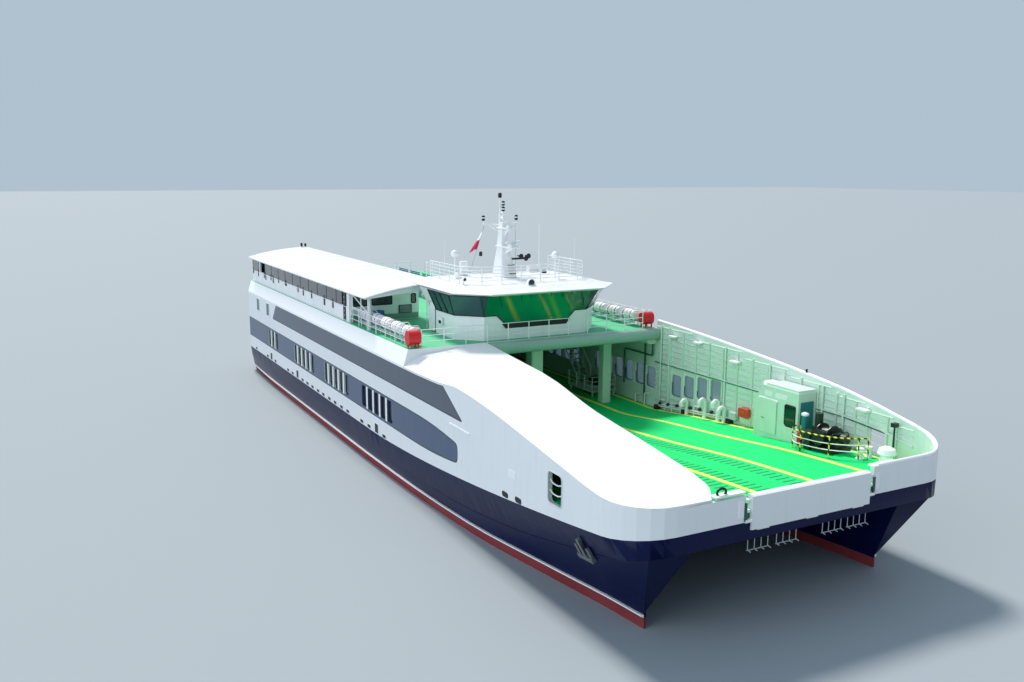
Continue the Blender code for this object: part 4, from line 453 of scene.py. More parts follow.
def pipe_tree():
    """Runs a round pipe along each path of edges, with bends of one radius."""
    tree, inputs = tree_with("pipe_run", Radius="Float", Bend="Float", Sides="Int")
    path = add(tree, "GeometryNodeMeshToCurve", {"Mesh": inputs["Geometry"]})
    bent = {"Curve": path, "Radius": inputs["Bend"], "Count": 4, "Limit Radius": True}
    bent = add(tree, "GeometryNodeFilletCurve", bent, mode="POLY")
    ring = {"Radius": inputs["Radius"], "Resolution": inputs["Sides"]}
    ring = add(tree, "GeometryNodeCurvePrimitiveCircle", ring)
    tube = {"Curve": bent, "Profile Curve": ring, "Fill Caps": True}
    return end_tree(tree, add(tree, "GeometryNodeCurveToMesh", tube), inputs)


def rail_tree():
    """Builds a railing along a path of edges: a post on each point and evenly spaced bars between."""
    tree, inputs = tree_with("deck_railing", Height="Float", Bars="Int", Bar_Radius="Float",
                             Post_Radius="Float")
    path = add(tree, "GeometryNodeMeshToCurve", {"Mesh": inputs["Geometry"]})
    copies = {"Geometry": path, "Amount": inputs["Bars"]}
    copies = add(tree, "GeometryNodeDuplicateElements", copies, domain="SPLINE")
    number = {0: copies.outputs["Duplicate Index"], 1: 1.0}
    number = add(tree, "ShaderNodeMath", number, operation="ADD")
    step = {0: inputs["Height"], 1: inputs["Bars"]}
    step = add(tree, "ShaderNodeMath", step, operation="DIVIDE")
    level = add(tree, "ShaderNodeMath", {0: number, 1: step}, operation="MULTIPLY")
    lift = add(tree, "ShaderNodeCombineXYZ", {"Z": level})
    raised = {"Geometry": copies.outputs["Geometry"], "Offset": lift}
    raised = add(tree, "GeometryNodeSetPosition", raised)
    parts = []
    for curve, radius in ((raised, "Bar Radius"), (None, "Post Radius")):
        if curve is None:
            up = add(tree, "ShaderNodeCombineXYZ", {"Z": inputs["Height"]})
            curve = add(tree, "GeometryNodeMeshLine", {"Count": 2, "Offset": up}, mode="OFFSET")
            curve = add(tree, "GeometryNodeMeshToCurve", {"Mesh": curve})
        ring = {"Radius": inputs[radius], "Resolution": 8}
        ring = add(tree, "GeometryNodeCurvePrimitiveCircle", ring)
        tube = {"Curve": curve, "Profile Curve": ring, "Fill Caps": True}
        parts.append(add(tree, "GeometryNodeCurveToMesh", tube))
    posts = {"Points": inputs["Geometry"], "Instance": parts[1]}
    posts = add(tree, "GeometryNodeInstanceOnPoints", posts)
    both = add(tree, "GeometryNodeJoinGeometry", {"Geometry": parts[0]})
    tree.links.new(posts.outputs[0], both.inputs[0])
    return end_tree(tree, both, inputs)


def row_tree():
    """Repeats a fitting in a straight row, and the row in rows of its own."""
    tree, inputs = tree_with("repeated_row", Count="Int", Step="Vector", Rows="Int", Row_Step="Vector")
    shape = inputs["Geometry"]
    for count, step in (("Count", "Step"), ("Rows", "Row Step")):
        line = {"Count": inputs[count], "Offset": inputs[step]}
        line = add(tree, "GeometryNodeMeshLine", line, mode="OFFSET")
        shape = add(tree, "GeometryNodeInstanceOnPoints", {"Points": line, "Instance": shape})
    return end_tree(tree, shape, inputs)


def bar_tree():
    """Sets a bar of one size on every point, as welded grip bars are."""
    tree, inputs = tree_with("welded_bars", Size="Vector")
    bar = add(tree, "GeometryNodeMeshCube", {"Size": inputs["Size"]})
    bars = {"Points": inputs["Geometry"], "Instance": bar}
    return end_tree(tree, add(tree, "GeometryNodeInstanceOnPoints", bars), inputs)


PIPE, RAIL, ROW, BARS = pipe_tree(), rail_tree(), row_tree(), bar_tree()


def block(low, high):
    """A box from its low corner to its high one."""
    points = [(x, y, z) for x in (low[0], high[0]) for y in (low[1], high[1]) for z in (low[2], high[2])]
    return points, [(0, 1, 3, 2), (4, 6, 7, 5), (0, 4, 5, 1), (2, 3, 7, 6), (0, 2, 6, 4), (1, 5, 7, 3)]


def turned(profile, centre, axis="Z", sides=20):
    """A shape turned on a lathe: profile is (distance along the axis, radius) from end to end."""
    points, faces = [], []
    for reach, radius in profile:
        for i in range(sides):
            a, b = radius * cos(2 * pi * i / sides), radius * sin(2 * pi * i / sides)
            spot = {"X": (reach, a, b), "Y": (b, reach, a), "Z": (a, b, reach)}[axis]
            points.append(tuple(c + s for c, s in zip(centre, spot)))
    for k in range(len(profile) - 1):
        for i in range(sides):
            j = (i + 1) % sides
            faces.append((k * sides + i, k * sides + j, (k + 1) * sides + j, (k + 1) * sides + i))
    return points, [tuple(reversed(range(sides))), *faces, tuple(range(len(points) - sides, len(points)))]


def slab(outline, low, high, axis="Z"):
    """A flat plate of this outline, from low to high along its axis."""
    order = {"X": lambda a, b, c: (c, a, b), "Y": lambda a, b, c: (a, c, b),
             "Z": lambda a, b, c: (a, b, c)}[axis]
    count = len(outline)
    points = [order(a, b, c) for c in (low, high) for a, b in outline]
    sides = [(i, (i + 1) % count, (i + 1) % count + count, i + count) for i in range(count)]
    return points, [tuple(reversed(range(count))), *sides, tuple(range(count, 2 * count))]


def lofted(rings):
    """A closed solid through rings of points, capped at both ends."""
    count, points = len(rings[0]), [p for ring in rings for p in ring]
    faces = [tuple(reversed(range(count))), tuple(range(len(points) - count, len(points)))]
    for k in range(len(rings) - 1):
        for i in range(count):
            j = (i + 1) % count
            faces.append((k * count + i, k * count + j, (k + 1) * count + j, (k + 1) * count + i))
    return points, faces


def rounded(low, high, radius, steps=3):
    """A rectangle's outline with round corners, counter-clockwise."""
    corners = ((high[0] - radius, low[1] + radius, -90), (high[0] - radius, high[1] - radius, 0),
               (low[0] + radius, high[1] - radius, 90), (low[0] + radius, low[1] + radius, 180))
    turns = [(x, y, radians(start + 90 * i / steps)) for x, y, start in corners for i in range(steps + 1)]
    return [(x + radius * cos(a), y + radius * sin(a)) for x, y, a in turns]


def plate(low, high, radius, near, far, axis="Z"):
    """A flat plate with round corners."""
    return slab(rounded(low, high, radius), near, far, axis)


def round_edge(outline, y):
    """A closed line round an outline of x and z, at this y."""
    return [(x, y, z) for x, z in [*outline, outline[0]]]


def apply_modifiers(obj):
    graph = bpy.context.evaluated_depsgraph_get()
    mesh = bpy.data.meshes.new_from_object(obj.evaluated_get(graph))
    obj.modifiers.clear()
    obj.data = mesh


def even_faces(obj, smooth):
    """Smooth shading with sharp edges kept, weighted so that flat faces reflect flat."""
    obj.data.shade_smooth()
    obj.data.set_sharp_from_angle(angle=radians(smooth))
    obj.modifiers.new("even_faces", "WEIGHTED_NORMAL").keep_sharp = True
    apply_modifiers(obj)


def settle(obj, finish, body, smooth=30.0):
    """Applies the piece's modifiers, brings it to half size, and lets it ride on its body."""
    bpy.context.scene.collection.objects.link(obj)
    apply_modifiers(obj)
    obj.data.materials.clear()
    obj.data.materials.append(finish)
    obj.data.transform(Matrix.Scale(M, 4))
    even_faces(obj, smooth)
    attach(obj, body)
    return obj


def run_tree(obj, tree, **values):
    """Hangs a tree on the piece and sets its named inputs."""
    modifier = obj.modifiers.new(tree.name, "NODES")
    modifier.node_group = tree
    for item in tree.interface.items_tree:
        key = item.name.replace(" ", "_")
        if item.in_out == "INPUT" and key in values:
            modifier[item.identifier] = values[key]


def fitted(name, forms, finish, body="hull", bevel=0.0, row=None, stands_for=(), smooth=30.0):
    """One piece of several solid forms, bevelled, and repeated if row gives a count and step."""
    points, faces = [], []
    for form_points, form_faces in forms:
        faces += [tuple(i + len(points) for i in face) for face in form_faces]
        points += form_points
    mesh = bpy.data.meshes.new(name)
    mesh.from_pydata(points, [], faces)
    mesh.materials.append(finish)
    solid = bmesh.new()
    solid.from_mesh(mesh)
    bmesh.ops.recalc_face_normals(solid, faces=solid.faces)
    solid.to_mesh(mesh)
    solid.free()
    obj = bpy.data.objects.new(name, mesh)
    if bevel:
        edges = obj.modifiers.new("rounded_edges", "BEVEL")
        edges.width, edges.segments, edges.limit_method = bevel, 2, "ANGLE"
    if row:
        count, step, rows, row_step = (*row, 1, (0.0, 0.0, 0.0))[:4]
        run_tree(obj, ROW, Count=count, Step=step, Rows=rows, Row_Step=row_step, Finish=finish)
    settle(obj, finish, body, smooth)
    if stands_for:
        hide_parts(*stands_for)
    return obj


def path_object(name, paths, finish):
    """The bare edges of paths, for a tree to build on."""
    points, edges = [], []
    for path in paths:
        edges += [(len(points) + i, len(points) + i + 1) for i in range(len(path) - 1)]
        points += path
    mesh = bpy.data.meshes.new(name)
    mesh.from_pydata(points, edges, [])
    mesh.materials.append(finish)
    return bpy.data.objects.new(name, mesh)


def piped(name, paths, radius, finish, body="hull", bend=0.08, sides=10):
    """Round pipe or bar along each path."""
    obj = path_object(name, paths, finish)
    run_tree(obj, PIPE, Radius=radius, Bend=bend, Sides=sides, Finish=finish)
    return settle(obj, finish, body, 50.0)


def spaced(path, pitch):
    """The path with posts' places added, no further apart than about the pitch."""
    spots = []
    for a, b in zip(path, path[1:]):
        a, b = Vector(a), Vector(b)
        count = max(1, round((b - a).length / pitch))
        spots += [tuple(a.lerp(b, i / count)) for i in range(count)]
    return spots + [tuple(path[-1])]


def railed(name, path, finish, pitch=1.5, tall=1.02, bars=3, stands_for=(), body="hull"):
    """A railing of posts and bars along one path."""
    obj = path_object(name, [spaced(path, pitch)], finish)
    run_tree(obj, RAIL, Height=tall, Bars=bars, Bar_Radius=0.022, Post_Radius=0.03, Finish=finish)
    settle(obj, finish, body, 50.0)
    if stands_for:
        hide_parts(*stands_for)
    return obj


def railings():
    """Round-tube railings in place of the plain lattices."""
    deck = PASSENGER_DECK + 0.005
    railed("front_railing", [(8.05, -7.62, deck), (8.05, 7.62, deck)], WHITE, 1.4,
           stands_for=["rail_front"])
    for side, word in BOTH_SIDES:
        path = [(-2.1 if side < 0 else -29.3, side * 8.36, deck), (7.4, side * 8.36, deck)]
        railed(f"{word}_railing", path, WHITE, stands_for=[f"rail_{word}"])
    railed("aft_railing", [(-29.5, -3.3, deck), (-29.5, 8.36, deck)], WHITE, stands_for=["rail_aft"])
    z, y, x = WHEEL_TOP + 0.005, 4.3, 7.0
    path = [(1.68, -y, z), (x - 1, -y, z), (x, 1 - y, z), (x, y - 1, z), (x - 1, y, z), (1.68, y, z)]
    railed("roof_railing", path, WHITE, 1.25, bars=5, stands_for=["rail_wheelhouse_roof"])
    arcs = [(23.6, 1.3, 180, 90), (24.4, 2.3, 270, 68)]
    path = []
    for centre, radius, start, turn in arcs:
        for i in range(7):
            angle = radians(start + turn * i / 6)
            x, y = centre + radius * cos(angle), 6.1 + radius * (1 + sin(angle))
            path.append((x, y, deck_z(x) + 0.01))
    bars = [[(x, y, z + tall) for x, y, z in path] for tall in (0.38, 0.7)]
    piped("windlass_guard_bars", bars, 0.025, FITTING, bend=0.02, sides=8)
    tall = 1.03
    top = [(x, y, z + tall) for x, y, z in path]
    posts = [[(x, y, z), (x, y, z + tall)] for x, y, z in path[::3] + path[-1:]]
    guard = piped("windlass_guard_warning_bars", [top, *posts], 0.036, HAZARD, bend=0.02, sides=8)
    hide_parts("windlass_guard")


def rafts():
    """Raft canisters: two gel-coated shells joined at a flange, strapped into a welded cradle."""
    for side, word in BOTH_SIDES:
        y, z, long, pitch, count = side * 7.74, 8.9, 1.45, 1.75, 5
        ends = [(0, 0.12), (0.03, 0.26), (0.1, 0.33), (0.2, 0.355), (0.7, 0.36)]
        shell = turned(ends + [(long - a, r) for a, r in reversed(ends)], (-1.2, y, z), "X", 24)
        row = (count, (pitch, 0.0, 0.0))
        fitted(f"raft_shells_{word}", [shell], RAFT, row=row, stands_for=[f"liferafts_{word}"], smooth=40)
        flange = block((-1.16, y - 0.385, z - 0.02), (0.21, y + 0.385, z + 0.02))
        ring = turned([(0, 0.34), (0, 0.385), (0.05, 0.385), (0.05, 0.34)], (-0.52, y, z), "X", 24)
        fitted(f"raft_flanges_{word}", [flange, ring], RAFT, bevel=0.01, row=row)
        straps = [turned([(0, 0.35), (0, 0.372), (0.045, 0.372), (0.045, 0.35)], (x, y, z), "X", 24)
                  for x in (-0.9, -0.1)]
        fitted(f"raft_straps_{word}", straps, RUBBER, row=row)
        legs = []
        for x in (-0.95, -0.05):
            for leg in (-0.3, 0.3):
                legs.append(block((x - 0.03, y + leg - 0.03, ON_DECK), (x + 0.03, y + leg + 0.03, z - 0.18)))
            legs.append(block((x - 0.04, y - 0.34, z - 0.42), (x + 0.04, y + 0.34, z - 0.35)))
        for rail in (-0.3, 0.3):
            legs.append(block((-1.2, y + rail - 0.035, 8.46), (0.4, y + rail + 0.035, 8.53)))
        fitted(f"raft_cradles_{word}", legs, GREY, bevel=0.008, row=row)
        hoops = []
        for x in (-1.15, 0.3):
            hoops.append([(x, y - 0.3, 8.5), (x, y - 0.42, 9.05), (x, y - 0.2, 9.35), (x, y + 0.2, 9.35),
                          (x, y + 0.42, 9.05), (x, y + 0.3, 8.5)])
        hoops += [[(x + (count - 1) * pitch, *rest) for x, *rest in hoop] for hoop in hoops]
        piped(f"raft_hoops_{word}", hoops, 0.025, FITTING)


def lamp(x, y, z, tall=0.3, wide=0.11):
    """A navigation lamp: a black drum with a lens ring and a cap."""
    return turned([(0, 0.5 * wide), (0.03, wide), (tall - 0.06, wide), (tall, 0.6 * wide)], (x, y, z), "Z",
                  14)


def mast_and_gear():
    """The welded mast with its radar trays, the pole aft of it, lamps, horns and stays."""
    pole, trunk = 2.9, MAST_TRUNK
    levels = ((ON_ROOF, -0.58, 1.0, 0.52), (11.8, -0.56, 0.86, 0.5), (12.4, -0.48, 0.58, 0.42),
              (13.1, -0.4, 0.36, 0.31), (14.0, -0.3, 0.28, 0.25), (14.88, -0.22, 0.23, 0.2))
    rings = []
    for z, aft, fore, half in levels:
        rings.append([(x, y, z) for x, y in rounded((trunk + aft, -half), (trunk + fore, half),
                                                    0.3 * half)])
    forms = [lofted(rings), turned([(ON_ROOF, 0.1), (12.4, 0.09), (15.4, 0.075), (15.5, 0.04), (16.4, 0.035)],
                                   (pole, 0, 0))]
    for top, reach, half, tip in ((13.37, LOW_RADAR + 0.4, 0.42, 0.3),
                                  (14.52, HIGH_RADAR + 0.3, 0.34, 0.2)):
        tray = rounded((pole, -half), (reach, half), tip)
        forms += [slab(tray, top - 0.06, top),
                  slab([(trunk, top - 0.06), (reach - 0.25, top - 0.06), (trunk + 0.1, top - 0.62)], -0.03,
                       0.03, "Y")]
        rim = rounded((pole, -half - 0.02), (reach + 0.02, half + 0.02), tip)
        forms.append(slab(rim, top - 0.02, top + 0.03))
    forms.append(block((LOW_RADAR - 0.28, -0.24, 13.37), (LOW_RADAR + 0.28, 0.24, 13.56)))
    forms += [turned([(0, 0.2), (0.05, 0.21), (0.16, 0.15), (0.19, 0.1)], (HIGH_RADAR, 0, 14.54), sides=18)]
    for z in (15.1, 15.45):
        forms.append(turned([(0, 0.16), (0.03, 0.2), (0.06, 0.16)], (trunk, 0, z), sides=16))
    fitted("mast", forms, WHITE, bevel=0.012, stands_for=["mast"], smooth=40)
    arms = [[(pole, 0, 14.7), (pole, side * 1.18, 14.7), (pole, side * 1.18, 14.95)] for side in (-1, 1)]
    arms += [[(pole, side * 0.06, 14.25), (pole, side * 0.8, 14.68)] for side in (-1, 1)]
    arms += [[(trunk, 0, 14.85), (trunk, 0, 15.62)], [(pole, 0, 15.3), (trunk, 0, 15.12)]]
    piped("mast_spreader", arms, 0.045, WHITE, bend=0.1)
    lamps = [lamp(pole, 0, 16.38, 0.32, 0.12), lamp(trunk, 0, 15.55, 0.3), lamp(trunk, 0.0, 15.9, 0.3)]
    lamps += [lamp(pole, side * 1.18, 14.95, 0.34) for side in (-1, 1)] + [lamp(1.75, -0.8, 12.62, 0.3)]
    lamps.append(turned([(0, 0.05), (0.02, 0.15), (0.1, 0.17), (0.2, 0.1)], (5.3, 1.9, 11.72), "Z", 14))
    fitted("mast_lamps", lamps, LAMP_BLACK, bevel=0.01, smooth=40)
    bands = [turned([(0, 0.115), (0.08, 0.115)], (x, y, z), "Z", 14)
             for x, y, z in ((trunk, 0, 15.66), (trunk, 0, 16.01), (pole, 1.18, 15.1), (pole, -1.18, 15.1),
                             (pole, 0, 16.5))]
    fitted("mast_lamp_lenses", bands, LENS)
    horns = []
    for y, z, long in ((0.8, 12.75, 0.5), (1.1, 12.62, 0.6), (1.36, 12.75, 0.45)):
        bell = [(0, 0.04), (0.5 * long, 0.05), (0.8 * long, 0.1), (long, 0.17), (long + 0.02, 0.15)]
        horns.append(turned(bell, (trunk + 0.45, y, z), "X", 16))
    horns.append(block((trunk + 0.3, 0.1, 12.5), (trunk + 0.42, 1.46, 12.62)))
    fitted("air_horns", horns, LAMP_BLACK, bevel=0.008, smooth=40)
    rungs = [[(trunk + 0.86, 0, z), (trunk + 1.0, 0, z), (trunk + 1.0, 0.42, z), (trunk + 0.8, 0.42, z)]
             for z in (11.7, 11.95, 12.2)]
    rungs = [[(x - 0.1 * i, y, z) for x, y, z in rung] for i, rung in enumerate(rungs)]
    piped("mast_rungs", rungs, 0.028, LAMP_BLACK, bend=0.03)
    stays = [[(pole, side * 1.1, 14.68), (1.9, side * 1.7, ON_ROOF)] for side in (-1, 1)]
    piped("flag_lines", stays, 0.012, STEEL, bend=0.01, sides=6)


def radar_scanners():
    """The two scanners' bars, each on the body that turns; the lower one is stopped at a slant."""
    turn = radians(35)
    ends = [(-0.93, 0.05), (-0.85, 0.1), (0.85, 0.1), (0.93, 0.05)]
    rings = []
    for reach, wide in ends:
        ring = [(a * wide / 0.1, reach, 13.69 + b)
                for a, b in ((-0.09, -0.05), (0.09, -0.05), (0.07, 0.05), (-0.07, 0.05))]
        rings.append([(LOW_RADAR + x * cos(turn) - y * sin(turn), x * sin(turn) + y * cos(turn), z)
                      for x, y, z in ring])
    hub = turned([(0, 0.1), (0.06, 0.12), (0.08, 0.07)], (LOW_RADAR, 0, 13.6), sides=16)
    fitted("radar_bar_lower", [lofted(rings), hub], FITTING, "radar_lower", bevel=0.012,
           stands_for=["radar_lower"])
    forms = [turned([(0, 0.09), (0.06, 0.1), (0.08, 0.06)], (HIGH_RADAR, 0, 14.755), sides=16)]
    for x in (-0.075, 0.02):
        bar = rounded((HIGH_RADAR + x, -0.56), (HIGH_RADAR + x + 0.055, 0.56), 0.025)
        forms.append(slab(bar, 14.8, 14.89))
    forms.append(block((HIGH_RADAR - 0.05, -0.12, 14.79), (HIGH_RADAR + 0.05, 0.12, 14.84)))
    fitted("radar_bar_upper", forms, WHITE, "radar_upper", bevel=0.01, stands_for=["radar_upper"])


def signal_flag():
    """A limp woven bunting flag, white over red, hung from its line."""
    columns, rows, tall, pole = 12, 16, 1.15, 2.9
    points, faces = [], []
    for r in range(rows + 1):
        for c in range(columns + 1):
            u, v = c / columns, r / rows
            drop, fly = 0.4 + tall * v, (0.12 + 0.42 * v) * u
            fold = 0.12 * sin(3.2 * pi * u + 1.5 * v) * u
            points.append((pole - 0.31 * drop + fold, -1.1 - 0.186 * drop - fly,
                           14.68 - drop - 0.25 * u * u))
    for r in range(rows):
        for c in range(columns):
            i = r * (columns + 1) + c
            faces.append((i, i + 1, i + columns + 2, i + columns + 1))
    mesh = bpy.data.meshes.new("signal_flag")
    mesh.from_pydata(points, [], faces)
    mesh.materials.append(BUNTING)
    obj = bpy.data.objects.new("signal_flag", mesh)
    shell = obj.modifiers.new("cloth_thickness", "SOLIDIFY")
    shell.thickness, shell.offset = 0.012, 0.0
    settle(obj, BUNTING, "hull", 60)


def lean(z):
    """How far the wheelhouse's windows have leaned out at this height above their sill."""
    return 0.6 * max(0.0, z - WINDOW_SILL) / 1.3


def on_front(y, z, out=0.0):
    """A point on the wheelhouse's front at this height, leaning outwards above the sill."""
    return WHEEL_FRONT + lean(z) + out, y, z


def wheelhouse_windows():
    """The band of tinted panes round the wheelhouse, its dark gaskets, and the deeper panes in the notch."""
    front = WHEEL_FRONT
    outline = [(3.75, 4.8, 9.66), (6.4, 4.8, 9.66), (front, 3.5, 9.66), (front, 2.7, 9.66),
               (front, 2.12, 9.12)]
    low, high = [], []
    for side in (-1, 1):
        run = outline if side < 0 else list(reversed(outline))
        for x, y, z in run:
            grow, top = lean(z), lean(WINDOW_TOP)
            low.append((x + (grow if x > 3.8 else 0), side * (y + (grow if y > 3.6 else 0)), z))
            high.append((x + (top if x > 3.8 else 0), side * (y + (top if y > 3.4 else 0)), WINDOW_TOP))
    for i, (x, y, z) in enumerate(high):
        if abs(low[i][1]) < 3.4:
            high[i] = (x, low[i][1], z)
    rings = [[tuple(Vector(p) + outward(p) * skin)
              for p, skin in ((a, 0.035), (b, 0.035), (b, 0.005), (a, 0.005))] for a, b in zip(low, high)]
    fitted("wheelhouse_window_glass", [lofted(rings)], GLASS, stands_for=["wheelhouse_glazing"], smooth=20)
    frames = [[tuple(Vector(p) + outward(p) * 0.045) for p in low],
              [tuple(Vector(p) + outward(p) * 0.045) for p in high]]
    for y in (-2.1, -0.7, 0.7, 2.1):
        foot = 9.15 if abs(y) < 2.1 else 9.6
        frames.append([on_front(y, foot, 0.05), on_front(y, WINDOW_SILL, 0.05),
                       on_front(y, WINDOW_TOP, 0.05)])
    for side in (-1, 1):
        for x in (3.8, 4.65, 5.5, 6.38):
            frames.append([(x, side * 4.85, 9.64),
                           (x + (0.5 if x > 6 else 0), side * (4.85 + 0.57), WINDOW_TOP)])
        frames.append([(7.74, side * 3.52, 9.64), (8.28, side * 4.05, WINDOW_TOP)])
    piped("window_gaskets", frames, 0.028, RUBBER, bend=0.02, sides=6)


def outward(point):
    """The way out of the wheelhouse at a point of its wall, seen from above."""
    x, y, _ = point
    side = -1 if y < 0 else 1
    if abs(y) < 3.4:
        return Vector((1, 0, 0))
    if x < 5.0:
        return Vector((0, side, 0))
    if x > 7.0 and abs(y) < 4.4:
        return Vector((1, side * 0.41, 0))
    return Vector((0.41, side, 0))


def wheelhouse_room():
    """What shows through the glass: a moulded console with screens and two helm chairs."""
    desk = [(6.75, 8.25), (6.75, 9.15), (6.4, 9.35), (6.2, 9.35), (6.15, 8.9), (6.3, 8.25)]
    fitted("helm_console", [slab(desk, -1.9, 1.9, "Y")], GREY, bevel=0.03)
    screens = [block((6.35, y - 0.28, 9.36), (6.43, y + 0.28, 9.72)) for y in (-1.4, -0.7, 0.7, 1.4)]
    fitted("helm_screens", screens, LAMP_BLACK, bevel=0.015)
    chairs = []
    for y in (-0.75, 0.75):
        chairs += [plate((5.1, y - 0.3), (5.7, y + 0.3), 0.1, 8.85, 9.0),
                   plate((y - 0.28, 9.0), (y + 0.28, 9.75), 0.12, 5.02, 5.14, "X"),
                   turned([(8.22, 0.24), (8.26, 0.22), (8.3, 0.06), (8.85, 0.06)], (5.4, y, 0), sides=12)]
    fitted("helm_chairs", chairs, RUBBER, bevel=0.03, smooth=40)


def wheelhouse_outside():
    """Notch recess with a black sheet of painted shade, doors, ladder, searchlights, wipers, lamp box,
    lockers, domes and aerials.
    """
    # Painted shade: a black sheet below the notch panes stands for the shade in the recess.
    fitted("notch_recess", [slab([(-2.08, 8.84), (2.05, 8.84), (2.34, 9.15), (-2.34, 9.15)], 7.72, 7.76,
                                 "X")], LAMP_BLACK)
    for side, word in BOTH_SIDES:
        y = side * 4.83
        door = plate((2.84, 8.26), (3.56, 10.06), 0.12, y - 0.03, y + 0.01, "Y")
        fitted(f"wheelhouse_door_{word}", [door], WHITE, bevel=0.012)
        light = plate((3.0, 9.2), (3.4, 9.85), 0.08, y + side * 0.012 - 0.012, y + side * 0.012 + 0.012,
                      "Y")
        fitted(f"wheelhouse_door_light_{word}", [light], DARK_GLASS, bevel=0.006)
    rungs = [[(1.75, -4.62, z), (1.75, -4.22, z)] for z in [8.5 + 0.28 * i for i in range(11)]]
    sides = [[(1.75, y, ON_DECK), (1.75, y, 12.3), (1.95, y, 12.45)] for y in (-4.62, -4.22)]
    piped("roof_ladder", rungs + sides, 0.022, WHITE, bend=0.05, sides=8)
    box = [block((4.4, -4.98, 8.85), (4.85, -4.82, 9.3))]
    fitted("lamp_box", box, FITTING, bevel=0.03)
    fitted("lamp_box_lens", [plate((4.46, 8.92), (4.79, 9.12), 0.04, -5.0, -4.975, "Y")], DARK_GLASS,
           bevel=0.005)
    bowls, lenses = [], []
    for x, y, z, radius in ((8.15, -0.62, 11.55, 0.25), (6.5, -4.2, 11.75, 0.12)):
        bowls.append(turned([(-0.28, 0.4 * radius), (-0.2, 0.8 * radius), (0, radius), (0.06, radius),
                             (0.06, 0.9 * radius)], (x, y, z), "X", 20))
        bowls.append(block((x - 0.16, y - 0.03, 11.3), (x - 0.1, y + 0.03, z)))
        lenses.append(turned([(0.05, 0.86 * radius), (0.08, 0.6 * radius), (0.09, 0.2 * radius)], (x, y, z),
                             "X", 20))
    fitted("searchlight_bowls", bowls, FITTING, bevel=0.008, smooth=40)
    fitted("searchlight_lenses", lenses, DARK_GLASS, smooth=60)
    domes = []
    for x, y, foot in ((2.2, -2.85, ON_ROOF), (5.8, 2.4, ON_ROOF)):
        domes += [turned([(foot, 0.05), (12.75, 0.045)], (x, y, 0), sides=10),
                  turned([(12.7, 0.12), (12.74, 0.22), (12.9, 0.25), (13.02, 0.2), (13.1, 0.1),
                          (13.12, 0.03)], (x, y, 0), sides=18)]
    domes += [plate((1.75, -2.35), (2.05, -1.85), 0.05, 11.48, 12.35),
              turned([(ON_ROOF, 0.2), (11.7, 0.2), (11.8, 0.12)], (3.4, -3.2, 0))]
    domes += [plate((1.7, 2.6), (2.1, 3.4), 0.05, 11.47, 11.9)]
    fitted("roof_domes_and_lockers", domes, FITTING, bevel=0.02, smooth=40)
    whips = [[(2.2, 3.3, ON_ROOF), (2.2, 3.3, 14.6)], [(1.6, -3.3, ON_ROOF), (1.6, -3.3, 13.7)],
             [(5.1, 4.25, 12.4), (5.1, 4.25, 13.9)]]
    piped("whip_aerials", whips[:1], 0.04, FITTING, bend=0.01)
    piped("thin_whip_aerials", whips[1:], 0.014, FITTING, bend=0.01, sides=6)
    wipers = []
    for y in (-2.8, -1.4, 0.0, 1.4, 2.8):
        wipers.append([on_front(y, 10.9, 0.09), on_front(y + 0.35, 10.15, 0.09)])
        wipers.append([on_front(y + 0.25, 10.45, 0.1), on_front(y + 0.45, 9.85, 0.1)])
    piped("window_wipers", wipers, 0.014, RUBBER, bend=0.01, sides=6)
    gutter = wheel_roof_edge(0.02, 11.13)
    piped("roof_gutter", [gutter], 0.03, WHITE, bend=0.05, sides=8)
    coaming = wheel_roof_edge(-0.75, 11.33)
    piped("roof_coaming", [coaming], 0.02, GREY, bend=0.05, sides=6)


def wheel_roof_edge(out, z):
    """A line round the wheelhouse roof's front and sides, this far outside its edge."""
    side, front, cut = 5.5 + out, 9.3 + out, 1.7
    half = [(1.55, side), (front - cut, side), (front, side - cut)]
    return [(x, -y, z) for x, y in half] + [(x, y, z) for x, y in reversed(half)]


# Dark slots below the aft house's band: x, width and depth.
SLOTS = ((-29.2, 0.3, 0.35), (-27.35, 0.22, 0.45), (-25.2, 0.18, 0.4), (-24.7, 0.22, 0.5),
         (-22.9, 0.2, 0.35), (-22.2, 0.25, 0.5), (-20.4, 0.2, 0.3), (-18.3, 0.5, 0.3), (-14.6, 0.2, 0.4),
         (-13.2, 0.22, 0.5), (-11.0, 0.22, 0.45), (-7.9, 0.3, 0.55), (-5.9, 0.22, 0.5))


def roof_top(y):
    """The aft roof's top: highest inboard, falling in a curve to its outboard edge."""
    return 10.36 + 0.69 * (1 - ((y - ROOF_OUTER - ROOF_WIDE) / ROOF_WIDE) ** 2)


